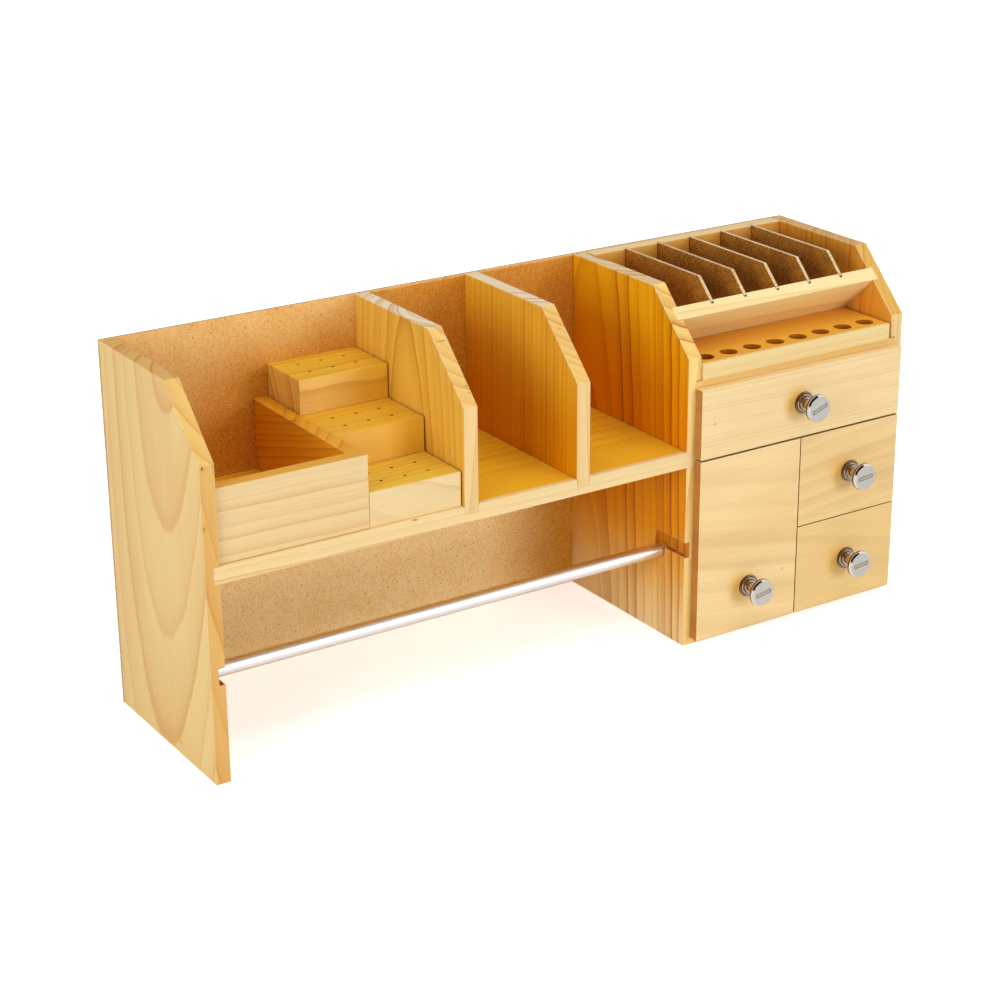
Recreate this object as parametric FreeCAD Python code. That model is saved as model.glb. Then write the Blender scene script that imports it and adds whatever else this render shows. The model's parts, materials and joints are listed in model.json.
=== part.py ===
import FreeCAD, Part
import math
import os

# All sizes are in millimetres. Inside the source x runs along the bench from the
# left panel's outer face, y runs back from the panels' front edges and z runs up
# from the bench top. The finished pieces are moved so that the middle of the
# assembly stands on the origin.

# Stock
board = 12.7
shelf_board = 14.2
strip_board = 14.4
hardboard = 3.2
drawer_board = 8.0

# Carcass
panel_depth = 172.0
height = 318.5
slope_run = 53.0
left_bay = 218.6
middle_bay = 96.8
right_bay = 101.8
cabinet_bay = 214.3
above_shelf = 136.3
housing_depth = 5.4
partition_housing = 7.0

# Parts bin in the left bay
bin_setback = 3.8
bin_height = 62.0
bin_share = 0.6066

# Stepped bur blocks
block_side_gap = 1.5
block_step = 30.0
lower_tread_share = 0.3317
middle_tread_share = 0.3413
bur_hole_diameter = 3.0
bur_hole_depth = 20.0
bur_end_margin = 19.7
bur_front_margin = 18.0
bur_row_pitch = 20.8
bur_columns = 3
bur_rows = 2

# Hanging rod and the slots that hold it
rod_diameter = 12.3
slot_width = 14.0
slot_depth = 5.5
slot_height = 91.1
pocket_back = 36.5
pocket_drop = 10.6
rod_rest_gap = 0.3
rod_end_gap = 0.5

# Cabinet
rack_drop = 73.4
front_thickness = 8.9
closed_gap = 0.3
front_overlay = 5.1
fronts_foot = 6.3
fronts_head_gap = 6.6
front_gap = 1.8
top_front_height = 62.8
lower_front_share = 0.4952
tall_front_share = 0.4953

# Tool strip on the front of the cabinet deck
strip_overhang = 2.6
strip_end_gap = 4.3
tool_hole_diameter = 16.0
tool_hole_end_margin = 15.05
tool_hole_front_margin = 17.3
tool_hole_count = 8

# Sloping divider rest, rail and dividers
rest_nose = 26.7
first_compartment = 35.3
last_compartment = 31.0
divider_count = 5
divider_play = 0.25
divider_rest_gap = 0.3
divider_bite = 1.9
rest_kerf_depth = 3.7
rail_kerf_depth = 4.2

# Drawer boxes
box_back_gap = 14.0
box_side_play = 1.0
box_under_play = 0.4
box_over_play = 2.4
groove_rise = 5.0
groove_depth = 4.0

# Knob, from the drawer face outwards
rosette_radius = 10.0
rosette_rim = 1.1
rosette_shoulder = 8.3
rosette_height = 2.6
collar_radius = 6.2
collar_height = 4.0
neck_radius = 4.3
head_radius = 12.5
head_back = 17.4
head_rim = 20.4
head_face_radius = 11.3
knob_reach = 22.0
knob_aside = 1.5
knob_drop = 1.0

# Knob screw
screw_radius = 2.0
screw_play = 0.15
screw_bite = 9.0
screw_head_radius = 4.2
screw_head_height = 2.3
screw_slot_width = 1.0
screw_slot_depth = 1.1

# One overrun serves every cut that has to pass a face
overrun = 5.0

# Places that follow from the sizes
left_partition = board + left_bay
right_partition = left_partition + board + middle_bay
cabinet_left = right_partition + board + right_bay
cabinet_inside = cabinet_left + board
cabinet_right = cabinet_inside + cabinet_bay
length = cabinet_right + board
shelf_top = height - above_shelf
under_shelf = shelf_top - shelf_board
front_edge_height = height - slope_run
bin_top = shelf_top + bin_height
bin_reach = left_bay * bin_share
bin_outside = board + bin_reach
block_length = left_bay - bin_reach - block_side_gap * 2
block_left = bin_outside + block_side_gap
bur_pitch = (block_length - bur_end_margin * 2) / (bur_columns - 1)
lower_tread = (panel_depth - bin_setback) * lower_tread_share
middle_tread = (panel_depth - bin_setback) * middle_tread_share
fronts_reach = closed_gap + front_thickness + knob_reach
mid_depth = (panel_depth + hardboard - fronts_reach) / 2
deck_top = height - rack_drop
deck_underside = deck_top - board
fronts_left = cabinet_inside - front_overlay
fronts_right = cabinet_right + front_overlay
tall_front_right = fronts_left + (fronts_right - fronts_left - front_gap) * tall_front_share
small_front_left = tall_front_right + front_gap
top_front_top = deck_top - fronts_head_gap
top_front_foot = top_front_top - top_front_height
tall_front_top = top_front_foot - front_gap
lower_front_top = fronts_foot + (tall_front_top - fronts_foot - front_gap) * lower_front_share
upper_front_foot = lower_front_top + front_gap
middle_board_top = tall_front_top + (front_gap + board) / 2
middle_board_foot = middle_board_top - board
upright_left = tall_front_right + (front_gap - board) / 2
upright_right = upright_left + board
small_shelf_top = lower_front_top + (front_gap + board) / 2
small_shelf_foot = small_shelf_top - board
strip_top = deck_top + strip_board
strip_right = cabinet_right - strip_end_gap
strip_length = strip_right - cabinet_inside
tool_hole_pitch = (strip_length - tool_hole_end_margin * 2) / (tool_hole_count - 1)
divider_span = cabinet_bay - first_compartment - last_compartment - hardboard
divider_pitch = divider_span / (divider_count - 1)
box_depth = panel_depth - box_back_gap
rod_radius = rod_diameter / 2
slot_radius = slot_width / 2
pocket_height = slot_height - pocket_drop
rod_height = pocket_height - slot_radius + rod_radius + rod_rest_gap
rod_left = board - slot_depth + rod_end_gap
rod_right = cabinet_left + slot_depth - rod_end_gap
rail_front = panel_depth - board

# The rest stands square to the panels' slope, so its edge is flush with it
slant = board / math.sqrt(2)
rest_low_height = front_edge_height + rest_nose
rest_high = rest_nose + slant
rest_high_height = rest_low_height + slant
rest_front_foot = rest_nose + rest_low_height - deck_top
rest_back_foot = rest_high + rest_high_height - deck_top
strip_back = rest_nose + rest_low_height - strip_top


def block(x_from, x_to, y_from, y_to, z_from, z_to):
    corner = FreeCAD.Vector(x_from, y_from, z_from)
    return Part.makeBox(x_to - x_from, y_to - y_from, z_to - z_from, corner)


def side_profile(outline, x_from, x_to):
    points = [FreeCAD.Vector(x_from, y, z) for y, z in outline]
    wire = Part.makePolygon(points + points[:1])
    return Part.Face(wire).extrude(FreeCAD.Vector(x_to - x_from, 0, 0))


def bar_along_x(radius, x_from, x_to, y, z):
    start = FreeCAD.Vector(x_from, y, z)
    return Part.makeCylinder(radius, x_to - x_from, start, FreeCAD.Vector(1, 0, 0))


def bar_along_y(radius, y_from, y_to, x, z):
    start = FreeCAD.Vector(x, y_from, z)
    return Part.makeCylinder(radius, y_to - y_from, start, FreeCAD.Vector(0, 1, 0))


def bar_along_z(radius, z_from, z_to, x, y):
    start = FreeCAD.Vector(x, y, z_from)
    return Part.makeCylinder(radius, z_to - z_from, start)


def panel(x_from):
    outline = [
        (0, 0),
        (panel_depth, 0),
        (panel_depth, height),
        (slope_run, height),
        (0, front_edge_height),
    ]
    return side_profile(outline, x_from, x_from + board)


def rod_slot(x_from, x_to):
    """The routed path: straight in from the front edge, then down into a pocket."""
    channel = block(
        x_from, x_to, -overrun, pocket_back, slot_height - slot_radius, slot_height + slot_radius
    )
    pocket = block(
        x_from, x_to, pocket_back - slot_radius, pocket_back + slot_radius, pocket_height, slot_height
    )
    turn = bar_along_x(slot_radius, x_from, x_to, pocket_back, slot_height)
    foot = bar_along_x(slot_radius, x_from, x_to, pocket_back, pocket_height)
    return channel.fuse([pocket, turn, foot]).removeSplitter()


def rest_bar(x_from, x_to):
    outline = [
        (rest_nose, rest_low_height),
        (rest_high, rest_high_height),
        (rest_back_foot, deck_top),
        (rest_front_foot, deck_top),
    ]
    return side_profile(outline, x_from, x_to)


def shelf_plank():
    return block(
        board - housing_depth, cabinet_left + housing_depth, 0, panel_depth, under_shelf, shelf_top
    )


def partition_below_shelf_line(x_from):
    foot = shelf_top - partition_housing
    waste = block(x_from, x_from + board, -overrun, panel_depth + overrun, -overrun, foot)
    return panel(x_from).cut(waste)


def deck_plank():
    return block(
        cabinet_inside - housing_depth,
        cabinet_right + housing_depth,
        0,
        panel_depth,
        deck_underside,
        deck_top,
    )


def rest_with_ends():
    return rest_bar(cabinet_inside - housing_depth, cabinet_right + housing_depth)


def divider_lefts():
    return [cabinet_inside + first_compartment + divider_pitch * n for n in range(divider_count)]


def rest_kerf(x_from, x_to):
    """A saw kerf with a round bottom, down the back of the sloping rest."""
    width = x_to - x_from
    radius = width / 2
    run = (rest_high_height - deck_top) * math.sqrt(2) + overrun
    slot = block(-radius, radius, radius - rest_kerf_depth, overrun, -run, overrun)
    bottom = bar_along_z(radius, -run, overrun, 0, radius - rest_kerf_depth)
    kerf = slot.fuse(bottom).removeSplitter()
    kerf.rotate(FreeCAD.Vector(0, 0, 0), FreeCAD.Vector(1, 0, 0), 45)
    kerf.translate(FreeCAD.Vector(x_from + radius, rest_high, rest_high_height))
    return kerf


def build_carcass():
    left_panel = panel(0).cut([shelf_plank(), rod_slot(board - slot_depth, board + overrun)])
    inner_panel = panel(cabinet_left).cut(
        [
            shelf_plank(),
            rod_slot(cabinet_left - overrun, cabinet_left + slot_depth),
            deck_plank(),
            rest_with_ends(),
        ]
    )
    right_panel = panel(cabinet_right).cut([deck_plank(), rest_with_ends()])
    left_wall = partition_below_shelf_line(left_partition)
    right_wall = partition_below_shelf_line(right_partition)
    shelf = shelf_plank().cut([left_wall, right_wall])
    back = block(0, length, panel_depth, panel_depth + hardboard, 0, height)
    return {
        "left_end_panel": left_panel,
        "cabinet_left_panel": inner_panel,
        "right_end_panel": right_panel,
        "left_partition": left_wall,
        "right_partition": right_wall,
        "shelf": shelf,
        "back_panel": back,
    }


def build_bin():
    front = block(board, bin_outside, bin_setback, bin_setback + board, shelf_top, bin_top)
    side = block(
        bin_outside - board, bin_outside, bin_setback + board, panel_depth, shelf_top, bin_top
    )
    return {"bin_front": front, "bin_side": side}


def bur_holes(tread_front, top):
    holes = []
    for row in range(bur_rows):
        y = tread_front + bur_front_margin + bur_row_pitch * row
        for column in range(bur_columns):
            x = block_left + bur_end_margin + bur_pitch * column
            holes.append(
                bar_along_z(bur_hole_diameter / 2, top - bur_hole_depth, top + overrun, x, y)
            )
    return holes


def build_bur_blocks():
    block_right = block_left + block_length
    treads = [
        ("lower_bur_block", bin_setback),
        ("middle_bur_block", bin_setback + lower_tread),
        ("upper_bur_block", bin_setback + lower_tread + middle_tread),
    ]
    pieces = {}
    foot = shelf_top
    for name, tread_front in treads:
        top = foot + block_step
        body = block(block_left, block_right, tread_front, panel_depth, foot, top)
        pieces[name] = body.cut(bur_holes(tread_front, top))
        foot = top
    return pieces


def build_cabinet_boards():
    middle = block(
        cabinet_inside, cabinet_right, 0, panel_depth, middle_board_foot, middle_board_top
    )
    bottom = block(cabinet_inside, cabinet_right, 0, panel_depth, 0, board)
    upright = block(upright_left, upright_right, 0, panel_depth, board, middle_board_foot)
    small_shelf = block(
        upright_right, cabinet_right, 0, panel_depth, small_shelf_foot, small_shelf_top
    )
    return {
        "cabinet_deck": deck_plank(),
        "cabinet_middle_board": middle,
        "cabinet_bottom_board": bottom,
        "cabinet_upright": upright,
        "small_drawer_shelf": small_shelf,
    }


def build_tool_strip():
    strip = block(cabinet_inside, strip_right, -strip_overhang, strip_back, deck_top, strip_top)
    radius = tool_hole_diameter / 2
    y = tool_hole_front_margin - strip_overhang
    holes = []
    for n in range(tool_hole_count):
        x = cabinet_inside + tool_hole_end_margin + tool_hole_pitch * n
        holes.append(bar_along_z(radius, deck_top - overrun, strip_top + overrun, x, y))
    return {"tool_strip": strip.cut(holes)}


def build_divider_rack():
    rest = rest_with_ends()
    rail = block(cabinet_inside, cabinet_right, rail_front, panel_depth, deck_top, height)
    tip = rest_high - divider_bite / math.sqrt(2)
    tip_height = rest_high_height - divider_bite / math.sqrt(2)
    floor = deck_top + divider_rest_gap
    tail = rail_front + rail_kerf_depth - divider_rest_gap
    outline = [
        (tip, tip_height),
        (tip + tip_height - floor, floor),
        (tail, floor),
        (tail, height),
        (slope_run, height),
    ]
    pieces = {}
    for number, left in enumerate(divider_lefts(), start=1):
        right = left + hardboard
        kerf_left = left - divider_play
        kerf_right = right + divider_play
        rest = rest.cut(rest_kerf(kerf_left, kerf_right))
        rail = rail.cut(
            block(
                kerf_left,
                kerf_right,
                rail_front - overrun,
                rail_front + rail_kerf_depth,
                deck_top - overrun,
                height + overrun,
            )
        )
        pieces["divider_%d" % number] = side_profile(outline, left, right)
    pieces["divider_rest"] = rest
    pieces["divider_back_rail"] = rail
    return pieces


def build_rod():
    return {"hanging_rod": bar_along_x(rod_radius, rod_left, rod_right, pocket_back, rod_height)}


def knob_solid(x, face, z):
    """Turned knob: stepped rosette, collar, slim neck and a broad head with a bevelled rim."""

    def at(radius, out):
        return FreeCAD.Vector(radius, -out, 0)

    hole = screw_radius + screw_play
    hole_end = screw_bite + screw_play
    edges = [
        Part.makeLine(at(hole, 0), at(rosette_radius, 0)),
        Part.makeLine(at(rosette_radius, 0), at(rosette_radius, rosette_rim)),
        Part.makeLine(at(rosette_radius, rosette_rim), at(rosette_shoulder, rosette_rim)),
        Part.makeLine(at(rosette_shoulder, rosette_rim), at(rosette_shoulder, rosette_height)),
        Part.makeLine(at(rosette_shoulder, rosette_height), at(collar_radius, rosette_height)),
        Part.makeLine(at(collar_radius, rosette_height), at(collar_radius, collar_height)),
        Part.makeLine(at(collar_radius, collar_height), at(neck_radius, collar_height)),
        Part.makeLine(at(neck_radius, collar_height), at(neck_radius, head_back)),
        Part.makeLine(at(neck_radius, head_back), at(head_radius, head_back)),
        Part.makeLine(at(head_radius, head_back), at(head_radius, head_rim)),
        Part.makeLine(at(head_radius, head_rim), at(head_face_radius, knob_reach)),
        Part.makeLine(at(head_face_radius, knob_reach), at(0, knob_reach)),
        Part.makeLine(at(0, knob_reach), at(0, hole_end)),
        Part.makeLine(at(0, hole_end), at(hole, hole_end)),
        Part.makeLine(at(hole, hole_end), at(hole, 0)),
    ]
    profile = Part.Face(Part.Wire(edges))
    knob = profile.revolve(FreeCAD.Vector(0, 0, 0), FreeCAD.Vector(0, 1, 0), 360)
    knob.translate(FreeCAD.Vector(x, face, z))
    return knob


def screw_solid(x, face, z):
    """Pan head screw: its head bears on the inside of the drawer front."""
    inside = face + front_thickness
    head_end = inside + screw_head_height
    shank = bar_along_y(screw_radius, face - screw_bite, inside, x, z)
    head = bar_along_y(screw_head_radius, inside, head_end, x, z)
    slot = block(
        x - screw_head_radius - overrun,
        x + screw_head_radius + overrun,
        head_end - screw_slot_depth,
        head_end + overrun,
        z - screw_slot_width / 2,
        z + screw_slot_width / 2,
    )
    return shank.fuse(head).removeSplitter().cut(slot)


def build_drawer(name, front_span, bay_span, knob_x, knob_height):
    """One overlay-fronted drawer that fills the bay behind its front."""
    front_left, front_right, front_foot, front_top = front_span
    bay_left, bay_right, bay_floor, bay_ceiling = bay_span
    face = -closed_gap - front_thickness
    left = bay_left + box_side_play
    right = bay_right - box_side_play
    foot = bay_floor + box_under_play
    top = bay_ceiling - box_over_play
    inside_left = left + drawer_board
    inside_right = right - drawer_board
    bottom_foot = foot + groove_rise
    bottom_top = bottom_foot + hardboard
    bottom = block(
        inside_left - groove_depth,
        inside_right + groove_depth,
        -closed_gap - groove_depth,
        box_depth,
        bottom_foot,
        bottom_top,
    )
    left_side = block(left, inside_left, -closed_gap, box_depth, foot, top).cut(bottom)
    right_side = block(inside_right, right, -closed_gap, box_depth, foot, top).cut(bottom)
    back = block(inside_left, inside_right, box_depth - drawer_board, box_depth, bottom_top, top)
    front = block(front_left, front_right, face, -closed_gap, front_foot, front_top).cut(
        [
            bottom,
            bar_along_y(
                screw_radius + screw_play, face - overrun, front_thickness + overrun, knob_x, knob_height
            ),
        ]
    )
    return {
        name + "_front": front,
        name + "_left_side": left_side,
        name + "_right_side": right_side,
        name + "_back": back,
        name + "_bottom": bottom,
        name + "_knob": knob_solid(knob_x, face, knob_height),
        name + "_knob_screw": screw_solid(knob_x, face, knob_height),
    }


def build_drawers():
    lower_knob = (fronts_foot + lower_front_top) / 2 - knob_drop
    upper_knob = (upper_front_foot + tall_front_top) / 2 - knob_drop
    top_knob = (top_front_foot + top_front_top) / 2
    tall_knob_x = (fronts_left + tall_front_right) / 2 + knob_aside
    small_knob_x = (small_front_left + fronts_right) / 2 + knob_aside
    pieces = {}
    pieces.update(
        build_drawer(
            "top_drawer",
            (fronts_left, fronts_right, top_front_foot, top_front_top),
            (cabinet_inside, cabinet_right, middle_board_top, deck_underside),
            (fronts_left + fronts_right) / 2,
            top_knob,
        )
    )
    pieces.update(
        build_drawer(
            "tall_drawer",
            (fronts_left, tall_front_right, fronts_foot, tall_front_top),
            (cabinet_inside, upright_left, board, middle_board_foot),
            tall_knob_x,
            lower_knob,
        )
    )
    pieces.update(
        build_drawer(
            "upper_small_drawer",
            (small_front_left, fronts_right, upper_front_foot, tall_front_top),
            (upright_right, cabinet_right, small_shelf_top, middle_board_foot),
            small_knob_x,
            upper_knob,
        )
    )
    pieces.update(
        build_drawer(
            "lower_small_drawer",
            (small_front_left, fronts_right, fronts_foot, lower_front_top),
            (upright_right, cabinet_right, board, small_shelf_foot),
            small_knob_x,
            lower_knob,
        )
    )
    return pieces


def write_parts(pieces):
    os.makedirs("parts", exist_ok=True)
    to_middle = FreeCAD.Vector(-length / 2, -mid_depth, 0)
    for name, shape in pieces.items():
        placed = shape.copy()
        placed.translate(to_middle)
        placed.exportStep("parts/%s.step" % name)
        print(name, round(placed.Volume), len(placed.Solids), placed.isValid())


pieces = {}
for build in (
    build_carcass,
    build_bin,
    build_bur_blocks,
    build_cabinet_boards,
    build_tool_strip,
    build_divider_rack,
    build_rod,
    build_drawers,
):
    pieces.update(build())
write_parts(pieces)
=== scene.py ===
"""Dresses the benchtop workbench: eased pine boards, hardboard, turned knobs, bright rod and studio."""

import json
import logging
import math
from dataclasses import dataclass, field, replace
from enum import Enum
from typing import Any, Optional, Sequence, Union

import bmesh
import bpy
from mathutils import Matrix, Vector


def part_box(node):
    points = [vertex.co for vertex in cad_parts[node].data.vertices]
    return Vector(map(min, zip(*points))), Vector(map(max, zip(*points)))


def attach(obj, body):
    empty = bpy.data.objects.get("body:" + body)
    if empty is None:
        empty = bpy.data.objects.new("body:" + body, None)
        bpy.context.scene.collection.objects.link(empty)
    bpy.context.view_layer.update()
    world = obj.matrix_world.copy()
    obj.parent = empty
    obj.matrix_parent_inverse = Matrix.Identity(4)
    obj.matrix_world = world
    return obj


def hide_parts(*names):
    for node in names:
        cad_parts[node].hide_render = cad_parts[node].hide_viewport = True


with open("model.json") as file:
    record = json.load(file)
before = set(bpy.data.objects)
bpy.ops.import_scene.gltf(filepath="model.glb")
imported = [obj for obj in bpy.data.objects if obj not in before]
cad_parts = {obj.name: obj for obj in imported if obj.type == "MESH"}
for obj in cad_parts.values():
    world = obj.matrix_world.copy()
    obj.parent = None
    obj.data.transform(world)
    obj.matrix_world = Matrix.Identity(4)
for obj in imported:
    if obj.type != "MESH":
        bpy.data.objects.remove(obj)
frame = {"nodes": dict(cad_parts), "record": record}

LOG = logging.getLogger("workbench")
MM = 0.001

Colour = tuple[float, float, float]
Place = tuple[float, float, float]
Socket = bpy.types.NodeSocket
Outputs = bpy.types.NodeOutputs
Node = bpy.types.Node
Tree = bpy.types.NodeTree
Material = bpy.types.Material
Mesh = bpy.types.Mesh
Piece = bpy.types.Object
Value = Union[float, int, bool, str, Sequence[float], Socket]

WHITE: Colour = (1.0, 1.0, 1.0)
EVEN: Place = (1.0, 1.0, 1.0)
FACING = 0.9


class GrainRun(Enum):
    """The way a board's grain runs, with the turn that brings it upright in the grain pattern."""

    UPRIGHT = ((0.0, 0.0, 1.0), (0.0, 0.0, 0.0))
    LENGTHWISE = ((1.0, 0.0, 0.0), (0.0, -90.0, 0.0))
    FRONT_TO_BACK = ((0.0, 1.0, 0.0), (90.0, 0.0, 0.0))

    @property
    def axis(self) -> Place:
        """The grain's direction on the object."""
        return self.value[0]

    @property
    def turn(self) -> Place:
        """The Mapping node's turn, in radians."""
        return tuple(math.radians(angle) for angle in self.value[1])

    def turned(self, place: Vector) -> Vector:
        """A place as the grain pattern sees it, before it is moved to the tree's heart."""
        around_x, around_y, _ = self.turn
        return Matrix.Rotation(around_y, 3, "Y") @ Matrix.Rotation(around_x, 3, "X") @ place


class NodeSketch:
    """Adds the nodes of one shader or geometry tree and joins them."""

    def __init__(self, tree: Tree) -> None:
        """Starts on an existing tree."""
        self.tree = tree

    def put(self, socket: Socket, value: Value) -> None:
        """Joins a socket to another one, or sets its own value. A colour gets its fourth number here."""
        if isinstance(value, Socket):
            self.tree.links.new(value, socket)
        else:
            socket.default_value = (*value, 1.0) if socket.type == "RGBA" else value

    def fill(self, node: Node, inputs: dict[Any, Value]) -> None:
        """Gives several inputs of a node, by name or number, what they get."""
        for key, value in inputs.items():
            self.put(node.inputs[key], value)

    def add(self, kind: str, inputs: Optional[dict[Any, Value]] = None, **settings: Any) -> Node:
        """Adds one node.

        Args:
            kind: Blender's name for the node.
            inputs: what each input, by name or number, gets.
            settings: the node's own settings.

        Returns:
            The new node.
        """
        node = self.tree.nodes.new(kind)
        for name, setting in settings.items():
            setattr(node, name, setting)
        self.fill(node, inputs or {})
        return node

    def group(self, tree: Tree, inputs: dict[str, Value]) -> Outputs:
        """Adds one of the shared groups and gives its outputs."""
        return self.add("ShaderNodeGroup", inputs, node_tree=tree).outputs

    def math(self, operation: str, *values: Value) -> Socket:
        """A sum on numbers."""
        return self.add("ShaderNodeMath", dict(enumerate(values)), operation=operation).outputs[0]

    def times(self, first: Value, second: Value) -> Socket:
        """One number times another."""
        return self.math("MULTIPLY", first, second)

    def plus(self, first: Value, second: Value) -> Socket:
        """One number and another."""
        return self.math("ADD", first, second)

    def minus(self, first: Value, second: Value) -> Socket:
        """One number less another."""
        return self.math("SUBTRACT", first, second)

    def vector(self, operation: str, *values: Value) -> Socket:
        """A sum on vectors that gives a vector."""
        return self.add("ShaderNodeVectorMath", dict(enumerate(values)), operation=operation).outputs[0]

    def dot(self, first: Value, second: Value) -> Socket:
        """The dot product of two vectors."""
        node = self.add("ShaderNodeVectorMath", {0: first, 1: second}, operation="DOT_PRODUCT")
        return node.outputs["Value"]

    def length(self, place: Value) -> Socket:
        """The length of a vector."""
        return self.add("ShaderNodeVectorMath", {0: place}, operation="LENGTH").outputs["Value"]

    def spread(
        self, value: Value, low: Value, high: Value, to_low: Value = 0.0, to_high: Value = 1.0
    ) -> Socket:
        """Maps low..high smoothly to to_low..to_high and holds it there."""
        limits = dict(enumerate((value, low, high, to_low, to_high)))
        node = self.add("ShaderNodeMapRange", limits, interpolation_type="SMOOTHSTEP", clamp=True)
        return node.outputs["Result"]

    def blend(self, share: Value, first: Value, second: Value, way: str = "MIX") -> Socket:
        """Mixes two colours.

        Args:
            share: how much of the second colour.
            first: the colour at share 0.
            second: the colour that is mixed in.
            way: Blender's name for the mixing.

        Returns:
            The mixed colour.
        """
        inputs = {0: share, 6: first, 7: second}
        node = self.add("ShaderNodeMix", inputs, data_type="RGBA", blend_type=way, clamp_result=True)
        return node.outputs[2]

    def parts(self, place: Value) -> Outputs:
        """The X, Y and Z of a place."""
        return self.add("ShaderNodeSeparateXYZ", {0: place}).outputs

    def noise(self, place: Value, scale: float, detail: float = 2.0, seed: Value = 0.0) -> Node:
        """Smooth noise over a place, with a seed in the fourth direction."""
        return self.add(
            "ShaderNodeTexNoise",
            {"Vector": place, "W": seed, "Scale": scale, "Detail": detail, "Roughness": 0.55},
            noise_dimensions="4D",
        )

    def stretched(self, place: Value, scale: Value) -> Socket:
        """A place with each direction scaled on its own."""
        return self.vector("MULTIPLY", place, scale)

    def scaled(self, vector: Value, scale: Value) -> Socket:
        """A vector made longer or shorter."""
        return self.add("ShaderNodeVectorMath", {0: vector, "Scale": scale}, operation="SCALE").outputs[0]

    def mark(self, name: str) -> Socket:
        """An attribute of the mesh's faces, as a mask."""
        return self.add("ShaderNodeAttribute", attribute_type="GEOMETRY", attribute_name=name).outputs["Fac"]

    def bump(self, height: Value, strength: float, distance: float = 0.2 * MM) -> Socket:
        """The normal of a surface with fine relief."""
        inputs = {"Height": height, "Strength": strength, "Distance": distance}
        return self.add("ShaderNodeBump", inputs).outputs[0]


def shader_group(
    name: str, inputs: dict[str, tuple[str, Any]], outputs: dict[str, str]
) -> tuple[NodeSketch, Outputs, Node]:
    """Starts a shader group with named sockets.

    Args:
        name: the group's name.
        inputs: for each input its socket type and the value it has when nothing is given.
        outputs: the socket type of each output.

    Returns:
        The sketch, what the group is given, and its output node.
    """
    tree = bpy.data.node_groups.new(name, "ShaderNodeTree")
    for label, (kind, value) in inputs.items():
        socket = tree.interface.new_socket(label, in_out="INPUT", socket_type=kind)
        if value is not None:
            socket.default_value = value
    for label, kind in outputs.items():
        tree.interface.new_socket(label, in_out="OUTPUT", socket_type=kind)
    sketch = NodeSketch(tree)
    return sketch, sketch.add("NodeGroupInput").outputs, sketch.add("NodeGroupOutput")


FLOAT = "NodeSocketFloat"
VECTOR = "NodeSocketVector"
COLOUR = "NodeSocketColor"
WHOLE = "NodeSocketInt"
MATERIAL = "NodeSocketMaterial"
GEOMETRY = "NodeSocketGeometry"


@dataclass(frozen=True)
class Strands:
    """Strands of one kind in hardboard: cells to a metre, half a strand's length and width in metres,
    the share of cells without one, and how far the cells are shifted."""

    scale: float
    half: tuple[float, float]
    spared: float
    shift: Place = (0.0, 0.0, 0.0)


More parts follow.
